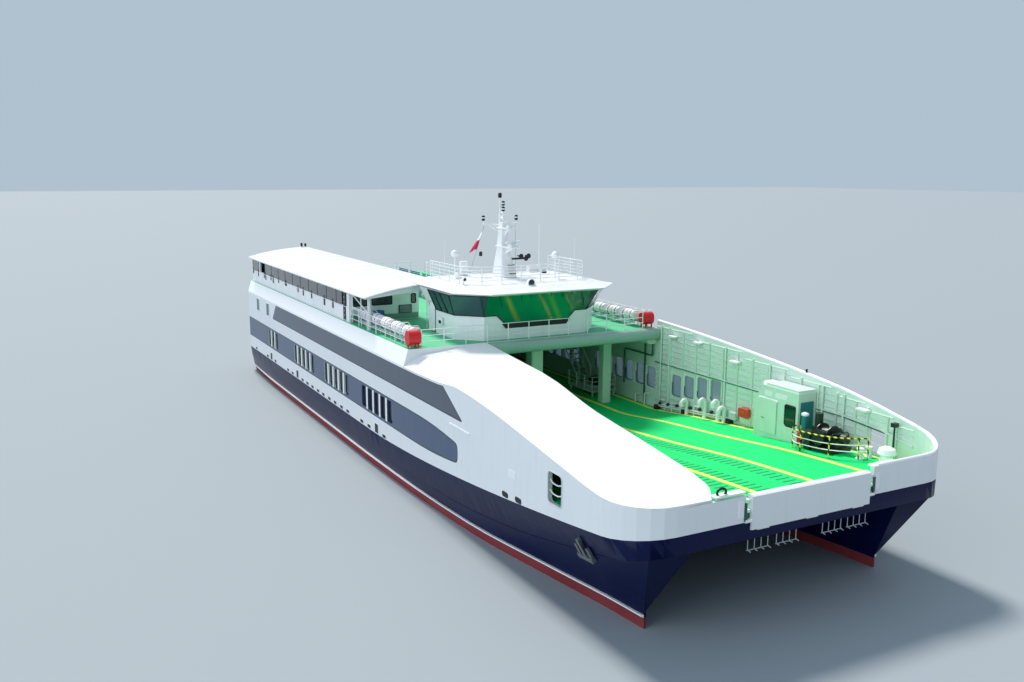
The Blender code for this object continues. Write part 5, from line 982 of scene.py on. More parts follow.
def aft_house_details():
    """The aft house's band of dark panes and slots, the doorway, the roof's edges, ribs and lamps."""
    for side, skin, word in AFT_HOUSE_SIDES:
        near, far = skin - side * 0.02, skin + side * 0.012
        panes = []
        for i in range(BAND_BAYS):
            x = -28.98 + BAND_PITCH * i
            if i == BARE_BAY and side < 0:
                continue
            last = i == BAND_BAYS - 1
            end = -3.75 if last else x + 1.98
            panes.append(plate((x - 0.13, 9.22), (end, 10.13), 0.14 if last else 0.04, near, far, "Y"))
        fitted(f"aft_window_band_{word}", panes, DARK_GLASS)
        slots = []
        for x, wide, deep in SLOTS:
            slots.append(plate((x, 9.25 - deep), (x + wide + 0.08, 9.4), 0.03, near, skin + side * 0.016,
                               "Y"))
        for i in range(BAND_BAYS):
            x = -29.14 + BAND_PITCH * i
            slots.append(slab([(x - 0.05, 9.2), (x + 0.05, 9.2), (x + 0.05, 10.15), (x - 0.05, 10.15)],
                              near, skin + side * 0.02, "Y"))
        fitted(f"aft_band_posts_{word}", slots, LAMP_BLACK)
        trims = [[(-29.3, skin + side * 0.02, z), (-2.35, skin + side * 0.02, z)]
                 for z in (10.16, 9.19, 8.3)]
        piped(f"aft_house_trim_{word}", trims, 0.018, WHITE, bend=0.01, sides=6)
        seams = [slab([(-28.0, 8.32), (-27.985, 8.32), (-27.985, 9.15), (-28.0, 9.15)], skin,
                      skin + side * 0.008, "Y")]
        fitted(f"aft_panel_joints_{word}", seams, GREY, row=(BAND_BAYS - 1, (BAND_PITCH, 0.0, 0.0)))
    door = plate((-3.5, 8.24), (-2.95, 10.1), 0.05, -8.38, -8.42, "Y")
    fitted("aft_side_doorway", [door], LAMP_BLACK)
    studs = [turned([(0, 0.035), (-0.04, 0.025)], (-3.22, -8.42, 8.6), "Y", 8)]
    fitted("aft_doorway_studs", studs, FITTING, row=(5, (0.0, 0.0, 0.3)))
    edges = [[(x, y, z) for x in (ROOF_AFT, ROOF_FRONT)] for y, z in ((-8.62, 10.28), (-3.28, 10.9))]
    piped("aft_roof_side_edges", edges, 0.045, WHITE, bend=0.01)
    arch = [ROOF_OUTER + ROOF_WIDE * i / 10 for i in range(11)]
    piped("aft_roof_end_edges", [[(x, y, roof_top(y) - 0.07) for y in arch]
                                 for x in (ROOF_FRONT, ROOF_AFT)], 0.045, WHITE, bend=0.01)
    under = [(-8.5, 10.21), (-3.4, 10.71)]
    rib = slab([*under, (-3.4, 10.63), (-8.5, 10.13)], -29.65, -29.59, "X")
    fitted("aft_roof_beams", [rib], WHITE, row=(23, (1.36, 0.0, 0.0)))
    seam = slab([(y, roof_top(y) + 0.012) for y in arch] + [(y, roof_top(y) - 0.03)
                                                            for y in reversed(arch)], -27.0, -26.96, "X")
    fitted("aft_roof_seams", [seam], ROOF, row=(11, (2.7, 0.0, 0.0)))
    fitted("aft_roof_light_foot", [block((-29.6, -4.0, 10.95), (-29.2, -3.4, 11.12)),
                                   block((-29.45, -3.8, 11.1), (-29.35, -3.7, 11.25))], FITTING, bevel=0.02)
    fitted("aft_roof_lamps", [lamp(-29.4, -3.85, 11.12, 0.33, 0.1), lamp(-29.4, -3.5, 11.12, 0.28, 0.1)],
           LAMP_BLACK, bevel=0.008)


def open_deck():
    """The deck under the roof's front: framed windows, wainscot, vent, canvas bundle, pipe frames."""
    face = -2.28
    frames, glass = [], []
    for y, wide in ((-8.15, 1.1), (-6.84, 1.43), (-4.05, 0.35)):
        outline = rounded((y + 0.02, 9.27), (y + wide - 0.02, 9.88), 0.08)
        glass.append(slab(outline, face - 0.03, face - 0.01, "X"))
        frames.append([(face, a, b) for a, b in [*outline, outline[0]]])
    fitted("saloon_front_windows", glass, DARK_GLASS)
    piped("saloon_window_frames", frames, 0.035, RUBBER, bend=0.02, sides=6)
    boards = plate((-8.35, 8.24), (-3.55, 8.62), 0.02, face, face + 0.03, "X")
    fitted("saloon_wainscot", [boards], TEAL, bevel=0.01)
    hatch = plate((-4.96, 8.62), (-4.03, 9.18), 0.04, face, face + 0.04, "X")
    fitted("saloon_vent_hatch", [hatch], LAMP_BLACK, bevel=0.01)
    slats = [plate((-4.9, 8.68), (-4.09, 8.7), 0.008, face + 0.03, face + 0.055, "X")]
    fitted("saloon_vent_slats", slats, GREY, row=(8, (0.0, 0.0, 0.06)))
    roll = [(0, 0.05), (0.05, 0.2), (0.3, 0.25), (0.7, 0.23), (1.05, 0.19), (1.1, 0.05)]
    fitted("canvas_bundle", [turned(roll, (-1.95, -7.2, 8.75), "Y", 14)], BLUE, smooth=60)
    fitted("canvas_bundle_shelf", [block((-2.2, -7.3, 8.45), (-1.7, -6.0, 8.52)),
                                   block((-2.0, -6.7, ON_DECK), (-1.9, -6.6, 8.46))], GREY, bevel=0.012)
    poles = [[(x, -8.2, ON_DECK), (x, -8.2, 10.2)] for x in (-2.2, -0.5, 1.0)]
    poles += [[(-2.2, -8.2, 10.1), (0.9, -8.2, 9.2)], [(-2.2, -8.2, 9.25), (1.0, -8.2, 9.25)]]
    piped("open_deck_pipe_frames", poles, 0.035, WHITE, bend=0.02)


def aft_saloon():
    """Rows of moulded seats inside the aft house, and benches on the open port half beside it."""
    seat = plate((-27.5, -8.0), (-27.0, -7.54), 0.1, 8.6, 8.66)
    back = plate((-7.98, 8.66), (-7.56, 9.35), 0.1, -27.56, -27.5, "X")
    leg = block((-27.3, -7.82, ON_DECK), (-27.22, -7.72, 8.61))
    fitted("saloon_seats", [seat, back, leg], SEAT, row=(7, (0.0, 0.56, 0.0), 22, (1.08, 0.0, 0.0)))
    fitted("saloon_ceiling_lights", [plate((-27.5, -6.1), (-26.6, -5.9), 0.06, 10.2, 10.26)], LENS,
           row=(8, (3.0, 0.0, 0.0)))
    boards = [plate((-27.0, y), (-24.8, y + 0.12), 0.02, 8.62, 8.66) for y in (-1.5, -1.35, -1.2)]
    boards += [plate((-27.0, z), (-24.8, z + 0.1), 0.02, -1.56, -1.52, "Y") for z in (8.78, 8.93)]
    fitted("sun_deck_bench_boards", boards, SEAT, bevel=0.008, row=(6, (2.8, 0.0, 0.0), 4, (0.0, 2.1, 0.0)))
    legs = [slab([(-1.6, 8.205), (-1.06, 8.205), (-1.06, 8.62), (-1.5, 8.62), (-1.52, 9.03), (-1.6, 9.03)],
                 x, x + 0.05, "X") for x in (-26.7, -25.2)]
    fitted("sun_deck_bench_frames", legs, GREY, row=(6, (2.8, 0.0, 0.0), 4, (0.0, 2.1, 0.0)))


# Side lights: side, its name, pane width, pitch, and for each group its x, number and sill above the deck.
LIGHT_GROUPS = ((-1, "starboard", 0.84, 1.12,
                 ((-22.8, 3, 0.5), (-14.8, 5, 0.5), (-7.0, 5, 0.5), (1.0, 5, 0.5))),
                (1, "port", 0.98, 1.24, ((-22.8, 3, 1.25), (-14.8, 5, 1.25), (-7.0, 5, 1.25),
                                         (1.12, 6, 1.25), (10.0, 4, 1.05))),)


def side_lights():
    """Toughened panes held in rubber, deep in the plating, with the white bars between them."""
    for side, word, wide, pitch, groups in LIGHT_GROUPS:
        panes, beads, bars = [], [], []
        for first, count, sill in groups:
            for i in range(count):
                x = first + i * pitch
                z = deck_z(x) + sill
                outline = rounded((x + 0.01, z + 0.01), (x + wide - 0.01, z + 1.34), 0.17)
                panes.append(slab(outline, side * 8.645, side * 8.67, "Y"))
                beads.append(round_edge(outline, side * 8.69))
                if i < count - 1:
                    bar = rounded((x + wide + 0.015, z - 0.03), (x + pitch - 0.015, z + 1.38), 0.04)
                    bars.append(slab(bar, side * SKIN_BACK, side * 8.82, "Y"))
        fitted(f"side_panes_{word}", panes, SIDE_GLASS if side < 0 else CLEAR_GLASS)
        piped(f"side_pane_gaskets_{word}", beads, 0.022, RUBBER, bend=0.01, sides=6)
        fitted(f"side_light_bars_{word}", bars, WHITE, bevel=0.008)
        if side > 0:
            inner = [([(x, y - 0.23, z) for x, y, z in points], faces) for points, faces in bars]
            fitted("side_light_bars_port_inside", inner, WHITE, bevel=0.008)
        tall = [rounded((x + 0.01, 5.91), (x + 0.99, 6.99), 0.1) for x in (-26.6, -23.2)]
        fitted(f"side_tall_panes_{word}", [slab(t, side * 8.66, side * 8.69, "Y") for t in tall],
               PALE_GLASS)
        piped(f"side_tall_pane_frames_{word}", [round_edge(t, side * SIDE_SKIN) for t in tall], 0.03,
              FITTING, bend=0.01, sides=6)


# Freeing ports: x, and 1 for a tall one.
SCUPPERS = ((-27.3, 0), (-23.3, 0), (-22.0, 1), (-20.7, 0), (-16.75, 0), (-15.4, 0), (-14.0, 1), (-12.6, 0),
            (-11.3, 0), (-10.0, 0), (-8.6, 0), (-7.3, 0), (-5.9, 0), (-4.6, 0), (-3.2, 0), (-1.9, 0),
            (0.9, 0), (2.25, 0), (3.6, 1), (4.9, 0))


def side_fittings():
    """Freeing ports along the foot of the side and slots, as black plates of painted shade; a moulding, and
    the doorway's rails and coaming.
    """
    for side, word in BOTH_SIDES:
        # Painted shade: each freeing port and slot is a black plate standing for the shade inside the
        # opening.
        painted_shade_mouths, lips = [], []
        for x, tall in SCUPPERS:
            low, high = (x - 0.3, 2.26), (x + 0.3, 2.86 if tall else 2.5)
            outline = rounded(low, high, 0.05)
            painted_shade_mouths.append(slab(outline, side * SKIN_BACK, side * 8.808, "Y"))
            lips.append(round_edge(outline, side * 8.812))
        for x, z in ((20.5, 3.61), (21.75, 3.72)):
            painted_shade_mouths.append(plate((x - 0.3, z - 0.13), (x + 0.3, z + 0.13), 0.12, side * SKIN_BACK,
                                side * 8.808, "Y"))
        fitted(f"freeing_ports_{word}", painted_shade_mouths, LAMP_BLACK)
        piped(f"freeing_port_lips_{word}", lips, 0.014, FITTING, bend=0.01, sides=6)
        fitted(f"side_moulding_{word}", [plate((14.4, 5.46), (16.8, 5.54), 0.03, side * SKIN_BACK,
                                               side * 8.84, "Y")], WHITE, bevel=0.012)
    for side, word, x in ((-1, "starboard", 24.9), (1, "port", 26.1)):
        floor = deck_z(x)
        bars = [[(x - 0.5, side * 8.72, z), (x - 0.2, side * 8.76, z - 0.1),
                 (x + 0.2, side * 8.76, z - 0.1), (x + 0.5, side * 8.72, z)]
                for z in (floor + 0.55, floor + 1.0)]
        piped(f"doorway_rails_{word}", bars, 0.03, FITTING, bend=0.2, sides=8)
        frame_line = rounded((x - 0.56, floor + 0.02), (x + 0.56, floor + 1.4), 0.2)
        piped(f"doorway_coaming_{word}", [round_edge(frame_line, side * SIDE_SKIN)], 0.035, GREY, bend=0.01,
              sides=6)
    fitted("bare_plate_starboard", [plate((20.8, 4.55), (21.5, 4.93), 0.04, -8.79, -8.815, "Y")], FITTING,
           bevel=0.006)


def rim_end(z):
    """How far forward the port wall still stands above this height."""
    x = 8.2
    while x < 28.2 and along(PORT_RIM, x) > z + 0.12:
        x += 0.1
    return x


def port_wall_details():
    """The stiffeners, rim cap, pipes, vents, lamps and boxes on the inside of the open port wall."""
    lines = []
    for i in range(15):
        z = 3.55 + 0.34 * i
        end = rim_end(z)
        start = next((x for x in (8.3, 12.0, 18.0, 22.5, 25.0, 27.0) if deck_z(x) < z - 0.1), 27.0)
        if 4.0 < z < 5.7:
            lines.append([(8.3, 8.57, z), (9.7, 8.57, z)])
            start = 15.1
            if z > 4.9:
                end = min(end, 25.4)
        if end - start > 1.0:
            lines.append([(start, 8.57, z), (end, 8.57, z)])
    piped("port_wall_stiffeners", lines, 0.035, PALE_BAR, bend=0.01, sides=6)
    # Painted shadow: a dark green bar along the stringer stands for the shade in the gap below it.
    shadow = [[(8.3, 8.5, 6.0), (24.0, 8.5, 6.0), (26.6, 8.5, min(6.0, along(PORT_RIM, 26.6) - 1.02))]]
    piped("port_stringer_gap", shadow, 0.035, DARK_GREEN, bend=0.01, sides=6)
    rim = [(x, 8.71, along(PORT_RIM, x) + 0.02) for x in (8.3, 10, 12, 14, 16, 18, 20, 22, 24, 26, 28)]
    rim += [(28.4 + 1.91 * sin(a), 6.8 + 1.91 * cos(a), along(PORT_RIM, 28.4 + 1.91 * sin(a)) + 0.02)
            for a in (radians(15 * i) for i in range(1, 7))]
    piped("port_rim_cap", [rim + [(30.31, 3.75, 5.92)]], 0.095, WHITE, bend=0.2, sides=12)
    posts = [[(x, 8.5, deck_z(x) + 0.02), (x, 8.5, along(PORT_RIM, x) - 0.15)]
             for x in (8.9, 9.75, 15.05, 18.7, 22.6, 24.0)]
    piped("port_wall_posts", posts, 0.06, PALE_BAR, bend=0.01)
    dark = [[(8.1, 8.42, 7.6), (8.1, 8.42, 6.35), (5.0, 8.42, 6.35), (5.0, 8.42, 4.0)],
            [(7.2, 8.5, 7.5), (7.2, 8.5, 3.1)]]
    piped("port_dark_pipes", dark, 0.06, DARK_GREEN, bend=0.15)
    vents = []
    for x, top in ((13.6, 4.71), (14.8, 4.88), (15.35, 4.6), (11.9, 4.3)):
        foot, out = deck_z(x), 0.3
        vents.append([(x, 8.32, foot), (x, 8.32, top - 0.14), (x, 8.1, top),
                      (x, 8.32 - out - 0.12, top - 0.2), (x, 8.32 - out - 0.12, top - 0.42)])
    piped("gooseneck_vents", vents, 0.12, FITTING, bend=0.16, sides=14)
    pipes = [[(x, 8.4, deck_z(x)), (x, 8.4, deck_z(x) + tall), (x + 0.5, 8.4, deck_z(x) + tall)]
             for x, tall in ((9.0, 0.7), (9.6, 0.5), (10.3, 0.6), (11.2, 0.55), (12.5, 0.6), (7.4, 0.8),
                             (6.4, 0.6), (3.2, 0.7))]
    pipes += [[(8.3, 8.38, deck_z(9) + z), (15.9, 8.38, deck_z(15.9) + z)] for z in (0.18, 0.3)]
    piped("port_wall_pipework", pipes, 0.045, FITTING, bend=0.1)
    valves = [turned([(0, 0.05), (0.06, 0.13), (0.12, 0.13), (0.2, 0.05)], (x, 8.34, deck_z(x) + 0.35), "Z",
                     12) for x in (9.2, 10.0, 10.9, 12.2, 13.1, 14.2)]
    valves += [block((x, 8.2, deck_z(x) + 0.01), (x + 0.35, 8.5, deck_z(x) + 0.3))
               for x in (8.7, 11.5, 15.6)]
    fitted("port_wall_valves", valves, MACHINE, bevel=0.02, smooth=40)
    fitted("hose_locker", [plate((15.8, 3.98), (16.35, 4.42), 0.05, 8.25, 8.5, "Y")], GREY, bevel=0.03)
    box = [plate((16.64, 4.34), (17.4, 4.86), 0.07, 8.2, 8.5, "Y"),
           block((16.9, 8.17, 4.5), (17.14, ON_DECK, 4.68))]
    fitted("fire_hose_box", box, ORANGE, bevel=0.03)
    lamps = [plate((x - 0.35, z), (x + 0.35, z + 0.12), 0.04, 8.2, 8.55, "Y")
             for x, z in ((16.0, 7.3), (25.33, 6.6))]
    lamps += [plate((x - 0.3, 7.85), (x + 0.3, 7.97), 0.04, 8.25, 8.55, "Y") for x in (10.2, 12.6)]
    fitted("port_wall_lamps", lamps, FITTING, bevel=0.02)
    post = [turned([(0, 0.06), (6.4 - deck_z(27.4), 0.045)], (27.4, 8.2, deck_z(27.4)), "Z", 10),
            block((27.28, 8.05, 6.32), (27.52, 8.35, 6.52))]
    fitted("floodlight_post", post, MACHINE, bevel=0.015)
    fitted("rim_lamp", [turned([(0, 0.06), (0.2, 0.06), (0.24, 0.03)], (21.2, 8.7, 7.66), "Z", 10)],
           LAMP_BLACK, bevel=0.01)


def deck_ribs():
    """Welded grip bars across the wheel tracks of the lanes, so that tyres don't slip on the wet deck."""
    spots = [(9.2 + 0.42 * i, y) for i in range(48) for y in (1.85, -0.12, -1.3, -3.08)]
    path = path_object("grip_bars", [[(x, y, deck_z(x) + 0.002) for x, y in spots]], RIB_PAINT)
    run_tree(path, BARS, Size=(0.075, 0.74, 0.034), Finish=RIB_PAINT)
    settle(path, RIB_PAINT, "hull")
    pots = [turned([(0, 0.11), (0.015, 0.1)], (-28.0, y, 2.95), "Z", 12) for y in (-2.3, 1.05, 4.2, 7.0)]
    fitted("lashing_pots", pots, STEEL, row=(15, (2.4, 0.0, 0.0)))


def bow_fittings():
    """Hinge and lock gear in the bow door's slots, coaming, fairleads, bitts and under-bow rods."""
    white, green = [], []
    for side in (-1, 1):
        white += [plate((side * 3.72 - 0.13, 4.9), (side * 3.72 + 0.13, 5.62), 0.05, 30.38, 30.44, "X"),
                  turned([(-0.16, 0.07), (0.16, 0.07)], (30.44, side * 3.36, 4.75), "Y", 12),
                  block((30.2, side * 3.36 - 0.1, 5.1), (30.42, side * 3.36 + 0.1, 5.2)),
                  block((30.2, side * 3.36 - 0.1, 5.55), (30.42, side * 3.36 + 0.1, 5.62))]
        green += [plate((side * 3.5 - 0.05, 4.75), (side * 3.5 + 0.05, 5.5), 0.02, 30.39, 30.46, "X"),
                  block((30.34, side * 3.36 - 0.08, 4.85), (30.41, side * 3.36 + 0.08, 5.05))]
    fitted("bow_slot_locks", white, FITTING, bevel=0.015)
    fitted("bow_slot_bars", green, DARK_GREEN, bevel=0.01)
    for side, word in BOTH_SIDES:
        strip = plate((30.02, side * 4.25 - 0.75), (30.41, side * 4.25 + 0.75), 0.05, 5.88, 5.95)
        fitted(f"bow_coaming_{word}", [strip], FITTING, bevel=0.015)
    ring = [(30.2, -4.56 + 0.22 * cos(a), 6.03 + 0.16 * sin(a)) for a in (pi * i / 8 for i in range(17))]
    piped("fairlead_ring", [ring], 0.05, LAMP_BLACK, bend=0.01)
    dashes = [block((30.46, y - 0.12, 4.74), (30.475, y + 0.12, 4.77)) for y in (-2.9, -2.3, -1.7)]
    fitted("bow_door_drains", dashes, LAMP_BLACK, "bow_door")
    bitts = []
    for x, y in ((29.1, 5.2), (29.1, 5.85), (26.2, 8.0), (26.2, 7.4)):
        profile = [(0, 0.2), (0.04, 0.2), (0.06, 0.13), (0.42, 0.13), (0.45, 0.18), (0.52, 0.18),
                   (0.55, 0.1)]
        bitts.append(turned(profile, (x, y, deck_z(x)), "Z", 16))
    bitts += [plate((28.85, 4.9), (29.35, 6.15), 0.06, deck_z(29.1) - 0.02, deck_z(29.1) + 0.05)]
    fitted("mooring_bitts", bitts, FITTING, bevel=0.01, smooth=40)
    rollers = [turned([(0, 0.16), (0.05, 0.16), (0.1, 0.1), (0.3, 0.1), (0.35, 0.16), (0.4, 0.16)],
                      (29.5, y, deck_z(29.5)), "Z", 14) for y in (6.35, 6.8)]
    fitted("fairlead_rollers", rollers, STEEL, smooth=40)
    rods = []
    for low in (-2.38, -0.83, 1.76, 3.24):
        rods += [[(29.4, low + 0.36 * i, 3.72), (29.4, low + 0.36 * i, 3.0),
                  (29.52, low + 0.36 * i + 0.08, 2.92)] for i in range(4)]
        rods.append([(29.4, low - 0.05, 2.98), (29.4, low + 1.15, 2.98)])
    piped("under_bow_rods", rods, 0.02, GREY, bend=0.05, sides=6)


def cabin_details():
    """The winch cabin's roof cap, lintel, door handle and hinges, window and bare sign plates."""
    z = deck_z(20.6)
    top = z + 2.75
    cap = slab([(18.98, 7.9), (19.6, 7.23), (22.22, 7.23), (22.22, 8.5), (18.98, 8.5)], top - 0.03,
               top + 0.05)
    fitted("cabin_roof_cap", [cap], ROOF, bevel=0.02)
    fitted("cabin_lintel", [plate((19.35, z + 2.0), (20.8, z + 2.1), 0.03, 7.18, 7.26, "Y")], FITTING,
           bevel=0.012)
    plates = [plate((x, z + 2.25), (x + wide, z + 2.5), 0.05, 7.225, 7.25, "Y")
              for x, wide in ((19.75, 0.55), (20.55, 0.85))]
    fitted("bare_sign_plates", plates, FITTING, bevel=0.006)
    hatch = plate((21.3, z + 1.0), (22.0, z + 2.0), 0.06, 7.22, 7.27, "Y")
    fitted("cabin_window", [hatch], DARK_GLASS, bevel=0.008)
    ring = rounded((21.28, z + 0.98), (22.02, z + 2.02), 0.06)
    piped("cabin_window_gasket", [round_edge(ring, 7.23)], 0.03, RUBBER, bend=0.01, sides=6)
    fitted("cabin_door_handle", [turned([(0, 0.03), (0.05, 0.03)], (19.66, 7.16, z + 1.0), "Y", 10),
                                 block((19.64, 7.13, z + 0.99), (19.86, 7.17, z + 1.03))], STEEL,
           "control_cabin_door", bevel=0.008)
    knuckles = [turned([(0, 0.035), (0.16, 0.035)], (20.67, 7.19, z + h), "Z", 10) for h in (0.4, 1.0, 1.6)]
    fitted("cabin_door_hinges", knuckles, STEEL)
    fitted("cabin_front_panel", [plate((7.4, z + 0.5), (8.3, z + 2.3), 0.06, 22.2, 22.225, "X")],
           BLUE_GREEN, bevel=0.008)


def windlass_gear():
    """The windlass's drums, brake wheels, hoses and control stand, and the teal exhaust stack beside it."""
    x, y, z = 24.1, 7.4, deck_z(24.1)
    drum = [(-0.75, 0.2), (-0.7, 0.42), (-0.64, 0.42), (-0.6, 0.24), (-0.12, 0.24), (-0.08, 0.42),
            (-0.02, 0.42), (0, 0.16), (0.3, 0.16), (0.34, 0.32), (0.4, 0.34), (0.58, 0.2), (0.76, 0.34),
            (0.8, 0.3)]
    fitted("windlass_drums", [turned(drum, (x, y, z + 0.75), "Y", 20)], MACHINE, smooth=40)
    wraps = [turned([(0, 0.27), (0.025, 0.295), (0.05, 0.27)], (x, y - 0.6, z + 0.75), "Y", 16)]
    fitted("windlass_rope", wraps, RUBBER, row=(9, (0.0, 0.053, 0.0)))
    wheels = []
    for dx, dy, dz in ((0.75, -0.35, 0.85), (0.75, 0.45, 0.85), (-0.8, 0.1, 0.7)):
        circle = [(x + dx, y + dy + 0.2 * cos(a), z + dz + 0.2 * sin(a))
                  for a in (pi * i / 6 for i in range(13))]
        wheels += [circle, [(x + dx, y + dy - 0.2, z + dz), (x + dx, y + dy + 0.2, z + dz)],
                   [(x + dx - 0.5 * (dx > 0) + 0.5 * (dx < 0), y + dy, z + dz), (x + dx, y + dy, z + dz)]]
    piped("brake_wheels", wheels, 0.025, MACHINE, bend=0.01, sides=8)
    hoses = [[(x - 0.9, y - 0.2 * i, z + 0.02), (x - 0.9, y - 0.2 * i, z + 0.5 + 0.1 * i),
              (x - 0.4, y - 0.2 * i, z + 0.6)] for i in range(4)]
    piped("windlass_hoses", hoses, 0.035, RUBBER, bend=0.15)
    stack = [turned([(0, 0.16), (1.15, 0.16), (1.2, 0.12)], (22.75, 7.2, z + 0.3), "Z", 18)]
    fitted("teal_stack", stack, BLUE_GREEN, smooth=40)
    fitted("stack_cap", [turned([(0, 0.19), (0.1, 0.19), (0.16, 0.08)], (22.75, 7.2, z + 1.48), "Z", 18)],
           FITTING, smooth=40)
    valve = [turned([(0, 0.1), (0.3, 0.1), (0.35, 0.05)], (22.9, 6.75, z + 0.4), "Z", 12),
             block((22.8, 6.65, z), (23.0, 6.85, z + 0.4))]
    fitted("red_valve_stand", valve, RED, bevel=0.015, smooth=40)
    stand = [block((23.3, 6.6, z), (23.7, 6.95, z + 0.85)),
             block((23.25, 6.55, z + 0.85), (23.75, 7.0, z + 0.95))]
    fitted("windlass_motor_stand", stand, MACHINE, bevel=0.03)


def garage_details():
    """Deck-head beams, lamps, the side stair with its rails, and a landing by the port pillar."""
    beams = [block((-28.0, -8.3, 7.36), (-27.88, 8.3, 7.56))]
    fitted("garage_beams", beams, PALE, row=(29, (1.26, 0.0, 0.0)))
    fitted("garage_lamps", [plate((-26.9, -0.15), (-25.7, 0.15), 0.05, 7.3, 7.38)], LENS,
           row=(9, (3.78, 0.0, 0.0), 2, (0.0, 4.4, 0.0)))
    floor = deck_z(0)
    fitted("garage_stair_treads", [plate((0.9, 7.3), (1.18, 8.2), 0.03, 3.42, 3.46)], STEEL,
           row=(13, (-0.3, 0.0, 0.32)))
    strings = [[(1.2, y, 3.3), (-2.7, y, 7.45)] for y in (7.28, 8.22)]
    strings += [[(1.2, y, 4.3), (-1.6, y, 7.3)] for y in (7.28, 8.22)]
    strings += [[(1.1 - 0.9 * i, y, 3.4 + 0.96 * i), (1.1 - 0.9 * i, y, 4.38 + 0.96 * i)] for i in range(3)
                for y in (7.28, 8.22)]
    piped("garage_stair_rails", strings, 0.035, FITTING, bend=0.02)
    landing = [plate((1.2, 6.3), (4.3, 8.3), 0.05, 3.3, 3.38)]
    landing += [block((x, y, floor), (x + 0.1, y + 0.1, 3.31)) for x in (1.3, 4.1) for y in (6.4, 8.1)]
    fitted("port_landing", landing, GREY, bevel=0.015)
    railed("port_landing_rail", [(1.25, 6.35, 3.385), (4.25, 6.35, 3.385), (4.25, 8.2, 3.385)], FITTING,
           1.0, 0.95, 3)
    gear = [block((2.0, 7.5, 3.38), (2.9, 8.2, 3.9)), block((3.1, 7.6, 3.38), (3.7, 8.2, 3.75)),
            turned([(0, 0.16), (0.5, 0.16)], (3.95, 7.9, 3.38), "Z", 12)]
    fitted("port_landing_gear", gear, MACHINE, bevel=0.04, smooth=40)
    railed("garage_side_rail", [(-24.0, -7.9, floor), (0.5, -7.9, floor)], FITTING, 2.0, 0.9, 2)


def stern_details():
    """Stiffeners and grip bars on the ramp, vent louvres, stern lamps and fender strips."""
    ribs = [block((-30.62, -3.9, 3.2), (-30.56, -3.8, 6.3))]
    fitted("ramp_stiffeners", ribs, GREY, "stern_ramp", bevel=0.01, row=(9, (0.0, 0.962, 0.0)))
    slat = plate((-7.35, 7.3), (7.35, 7.34), 0.012, -30.3, -30.22, "X")
    fitted("stern_vent_louvres", [slat], WHITE, row=(3, (0.0, 0.0, 0.1)))
    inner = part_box("stern_ramp")[1][0] / M
    grip = block((inner - 0.01, -3.8, 3.3), (inner + 0.015, 3.8, 3.36))
    fitted("ramp_grip_bars", [grip], RIB_PAINT, "stern_ramp", row=(8, (0.0, 0.0, 0.4)))
    for side, word in BOTH_SIDES:
        lamp_forms = [plate((side * 6.6 - 0.2, 6.4), (side * 6.6 + 0.2, 6.6), 0.05, -30.46, -30.39, "X")]
        fitted(f"stern_lamp_{word}", lamp_forms, LENS, bevel=0.01)
        fitted(f"stern_fenders_{word}", [plate((side * 6.4 - 0.12, 2.4), (side * 6.4 + 0.12, 5.9), 0.1,
                                               -30.5, -30.38, "X")], RUBBER, bevel=0.03,
               row=(2, (0.0, side * 1.2, 0.0)))


def red_lamp_boxes():
    """Gloss red lamp boxes at the passenger deck's front corners, with a lid line, feet and a guard."""
    for side, word in BOTH_SIDES:
        x, y = 7.85, side * 8.05
        shell = rounded((x - 0.36, 8.4), (x + 0.36, 9.2), 0.32, 6)
        forms = [slab(shell, y - 0.36, y + 0.36, "Y")]
        grown = rounded((x - 0.37, 8.78), (x + 0.37, 8.83), 0.02)
        forms.append(slab(grown, y - 0.38, y + 0.38, "Y"))
        fitted(f"red_box_{word}", forms, RED, bevel=0.05, stands_for=[f"red_box_{word}"], smooth=40)
        feet = [block((x + dx - 0.04, y + dy - 0.04, ON_DECK), (x + dx + 0.04, y + dy + 0.04, 8.45))
                for dx in (-0.25, 0.25) for dy in (-0.22, 0.22)]
        fitted(f"red_box_feet_{word}", feet, RED, bevel=0.01)
        guards = [[(x - 0.42, y + dy, 9.0), (x - 0.42, y + dy, 9.3), (x + 0.2, y + dy, 9.3)]
                  for dy in (-0.3, 0.3)]
        piped(f"red_box_guard_{word}", guards, 0.022, FITTING, bend=0.1, sides=8)


def smooth_copy(node_name, body="hull"):
    """A curved CAD part with its facets shaded evenly; its shape is unchanged."""
    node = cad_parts[node_name]
    mesh = node.data.copy()
    solid = bmesh.new()
    solid.from_mesh(mesh)
    bmesh.ops.remove_doubles(solid, verts=solid.verts, dist=0.00001)
    solid.to_mesh(mesh)
    solid.free()
    mesh.transform(node.matrix_world)
    obj = bpy.data.objects.new(f"{node_name}_faired", mesh)
    bpy.context.scene.collection.objects.link(obj)
    even_faces(obj, 32)
    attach(obj, body)
    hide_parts(node_name)


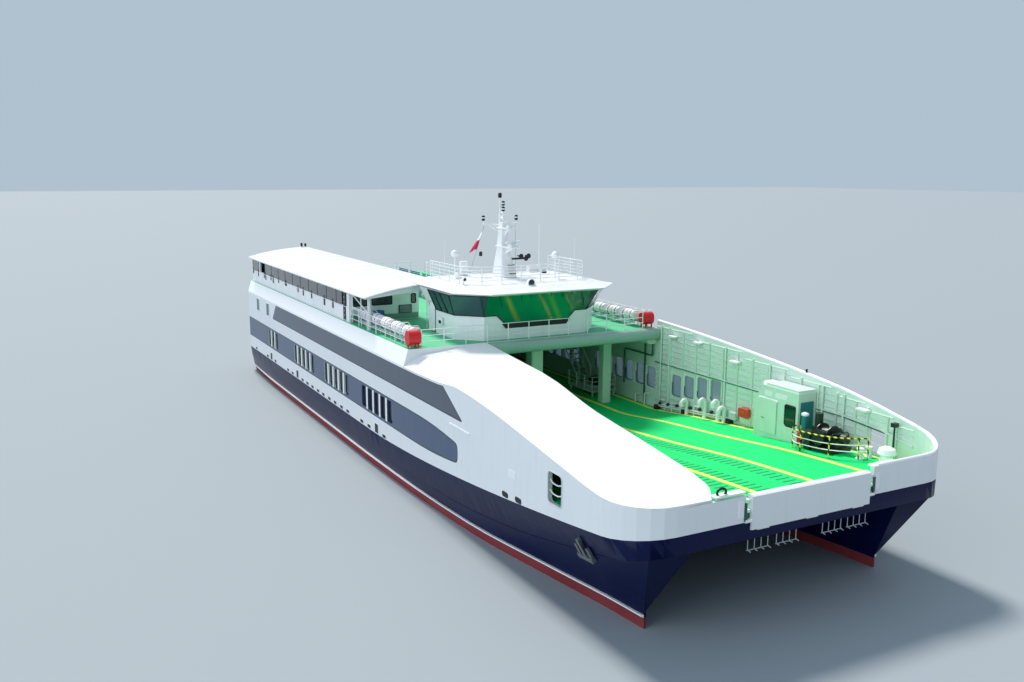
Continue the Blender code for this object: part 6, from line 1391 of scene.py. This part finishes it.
for curved in ("hull_port", "hull_starboard", "bow_corner_port", "bow_corner_starboard",
               "stern_corner_port", "stern_corner_starboard", "cross_structure", "casing_starboard"):
    smooth_copy(curved)
for word in ("port", "starboard"):
    smooth_copy(f"propeller_{word}", f"propeller_{word}")
railings()
rafts()
mast_and_gear()
radar_scanners()
signal_flag()
wheelhouse_windows()
wheelhouse_room()
wheelhouse_outside()
aft_house_details()
open_deck()
aft_saloon()
side_lights()
side_fittings()
port_wall_details()
deck_ribs()
bow_fittings()
cabin_details()
windlass_gear()
garage_details()
stern_details()
red_lamp_boxes()


def outdoor_studio():
    """A plain pale floor at the waterline, soft light from astern and abeam, the photograph's viewpoint."""
    scene = bpy.context.scene
    scene.view_settings.view_transform = "Standard"
    mesh = bpy.data.meshes.new("pale_floor")
    far = 400.0
    mesh.from_pydata([(-far, -far, 0), (far, -far, 0), (far, far, 0), (-far, far, 0)], [], [(0, 1, 2, 3)])
    floor = bpy.data.objects.new("pale_floor", mesh)
    made, _, shader, _ = start_material("pale_matt_floor", None, Roughness=0.8)
    shader.inputs["Base Color"].default_value = linear("#909aa1")
    mesh.materials.append(made)
    scene.collection.objects.link(floor)
    for name, towards, energy, spread, tint in (
        ("soft_key", (-0.58, 0.0, 0.81), 3.9, 0.2, "#fff8ef"),
        ("broad_fill", (0.1, -0.95, 0.35), 1.2, 0.9, "#eef3ff"),
    ):
        light = bpy.data.lights.new(name, "SUN")
        light.energy, light.angle, light.color = energy, spread, linear(tint)[:3]
        lamp_object = bpy.data.objects.new(name, light)
        lamp_object.rotation_euler = Vector(towards).to_track_quat("Z", "Y").to_euler()
        scene.collection.objects.link(lamp_object)
    world = bpy.data.worlds.new("pale_sky")
    world.use_nodes = True
    world.node_tree.nodes["Background"].inputs["Color"].default_value = linear("#b0c1cf")
    scene.world = world
    view = bpy.data.cameras.new("photo_viewpoint")
    view.lens, view.sensor_width, view.clip_end = 33.39, 36.0, 1000.0
    camera = bpy.data.objects.new("photo_viewpoint", view)
    heading, level = Vector((-0.8823, 0.4707, 0.0)), Vector((0.4707, 0.8823, 0.0))
    tilt, roll = radians(10.19), radians(0.244)
    ahead = heading * cos(tilt) - Vector((0, 0, 1)) * sin(tilt)
    up = level.cross(ahead)
    right = level * cos(roll) + up * sin(roll)
    turn = Matrix((right, right.cross(ahead), -ahead)).transposed().to_4x4()
    camera.matrix_world = Matrix.Translation((28.5, -13.975, 9.05)) @ turn
    scene.collection.objects.link(camera)
    scene.camera = camera


outdoor_studio()
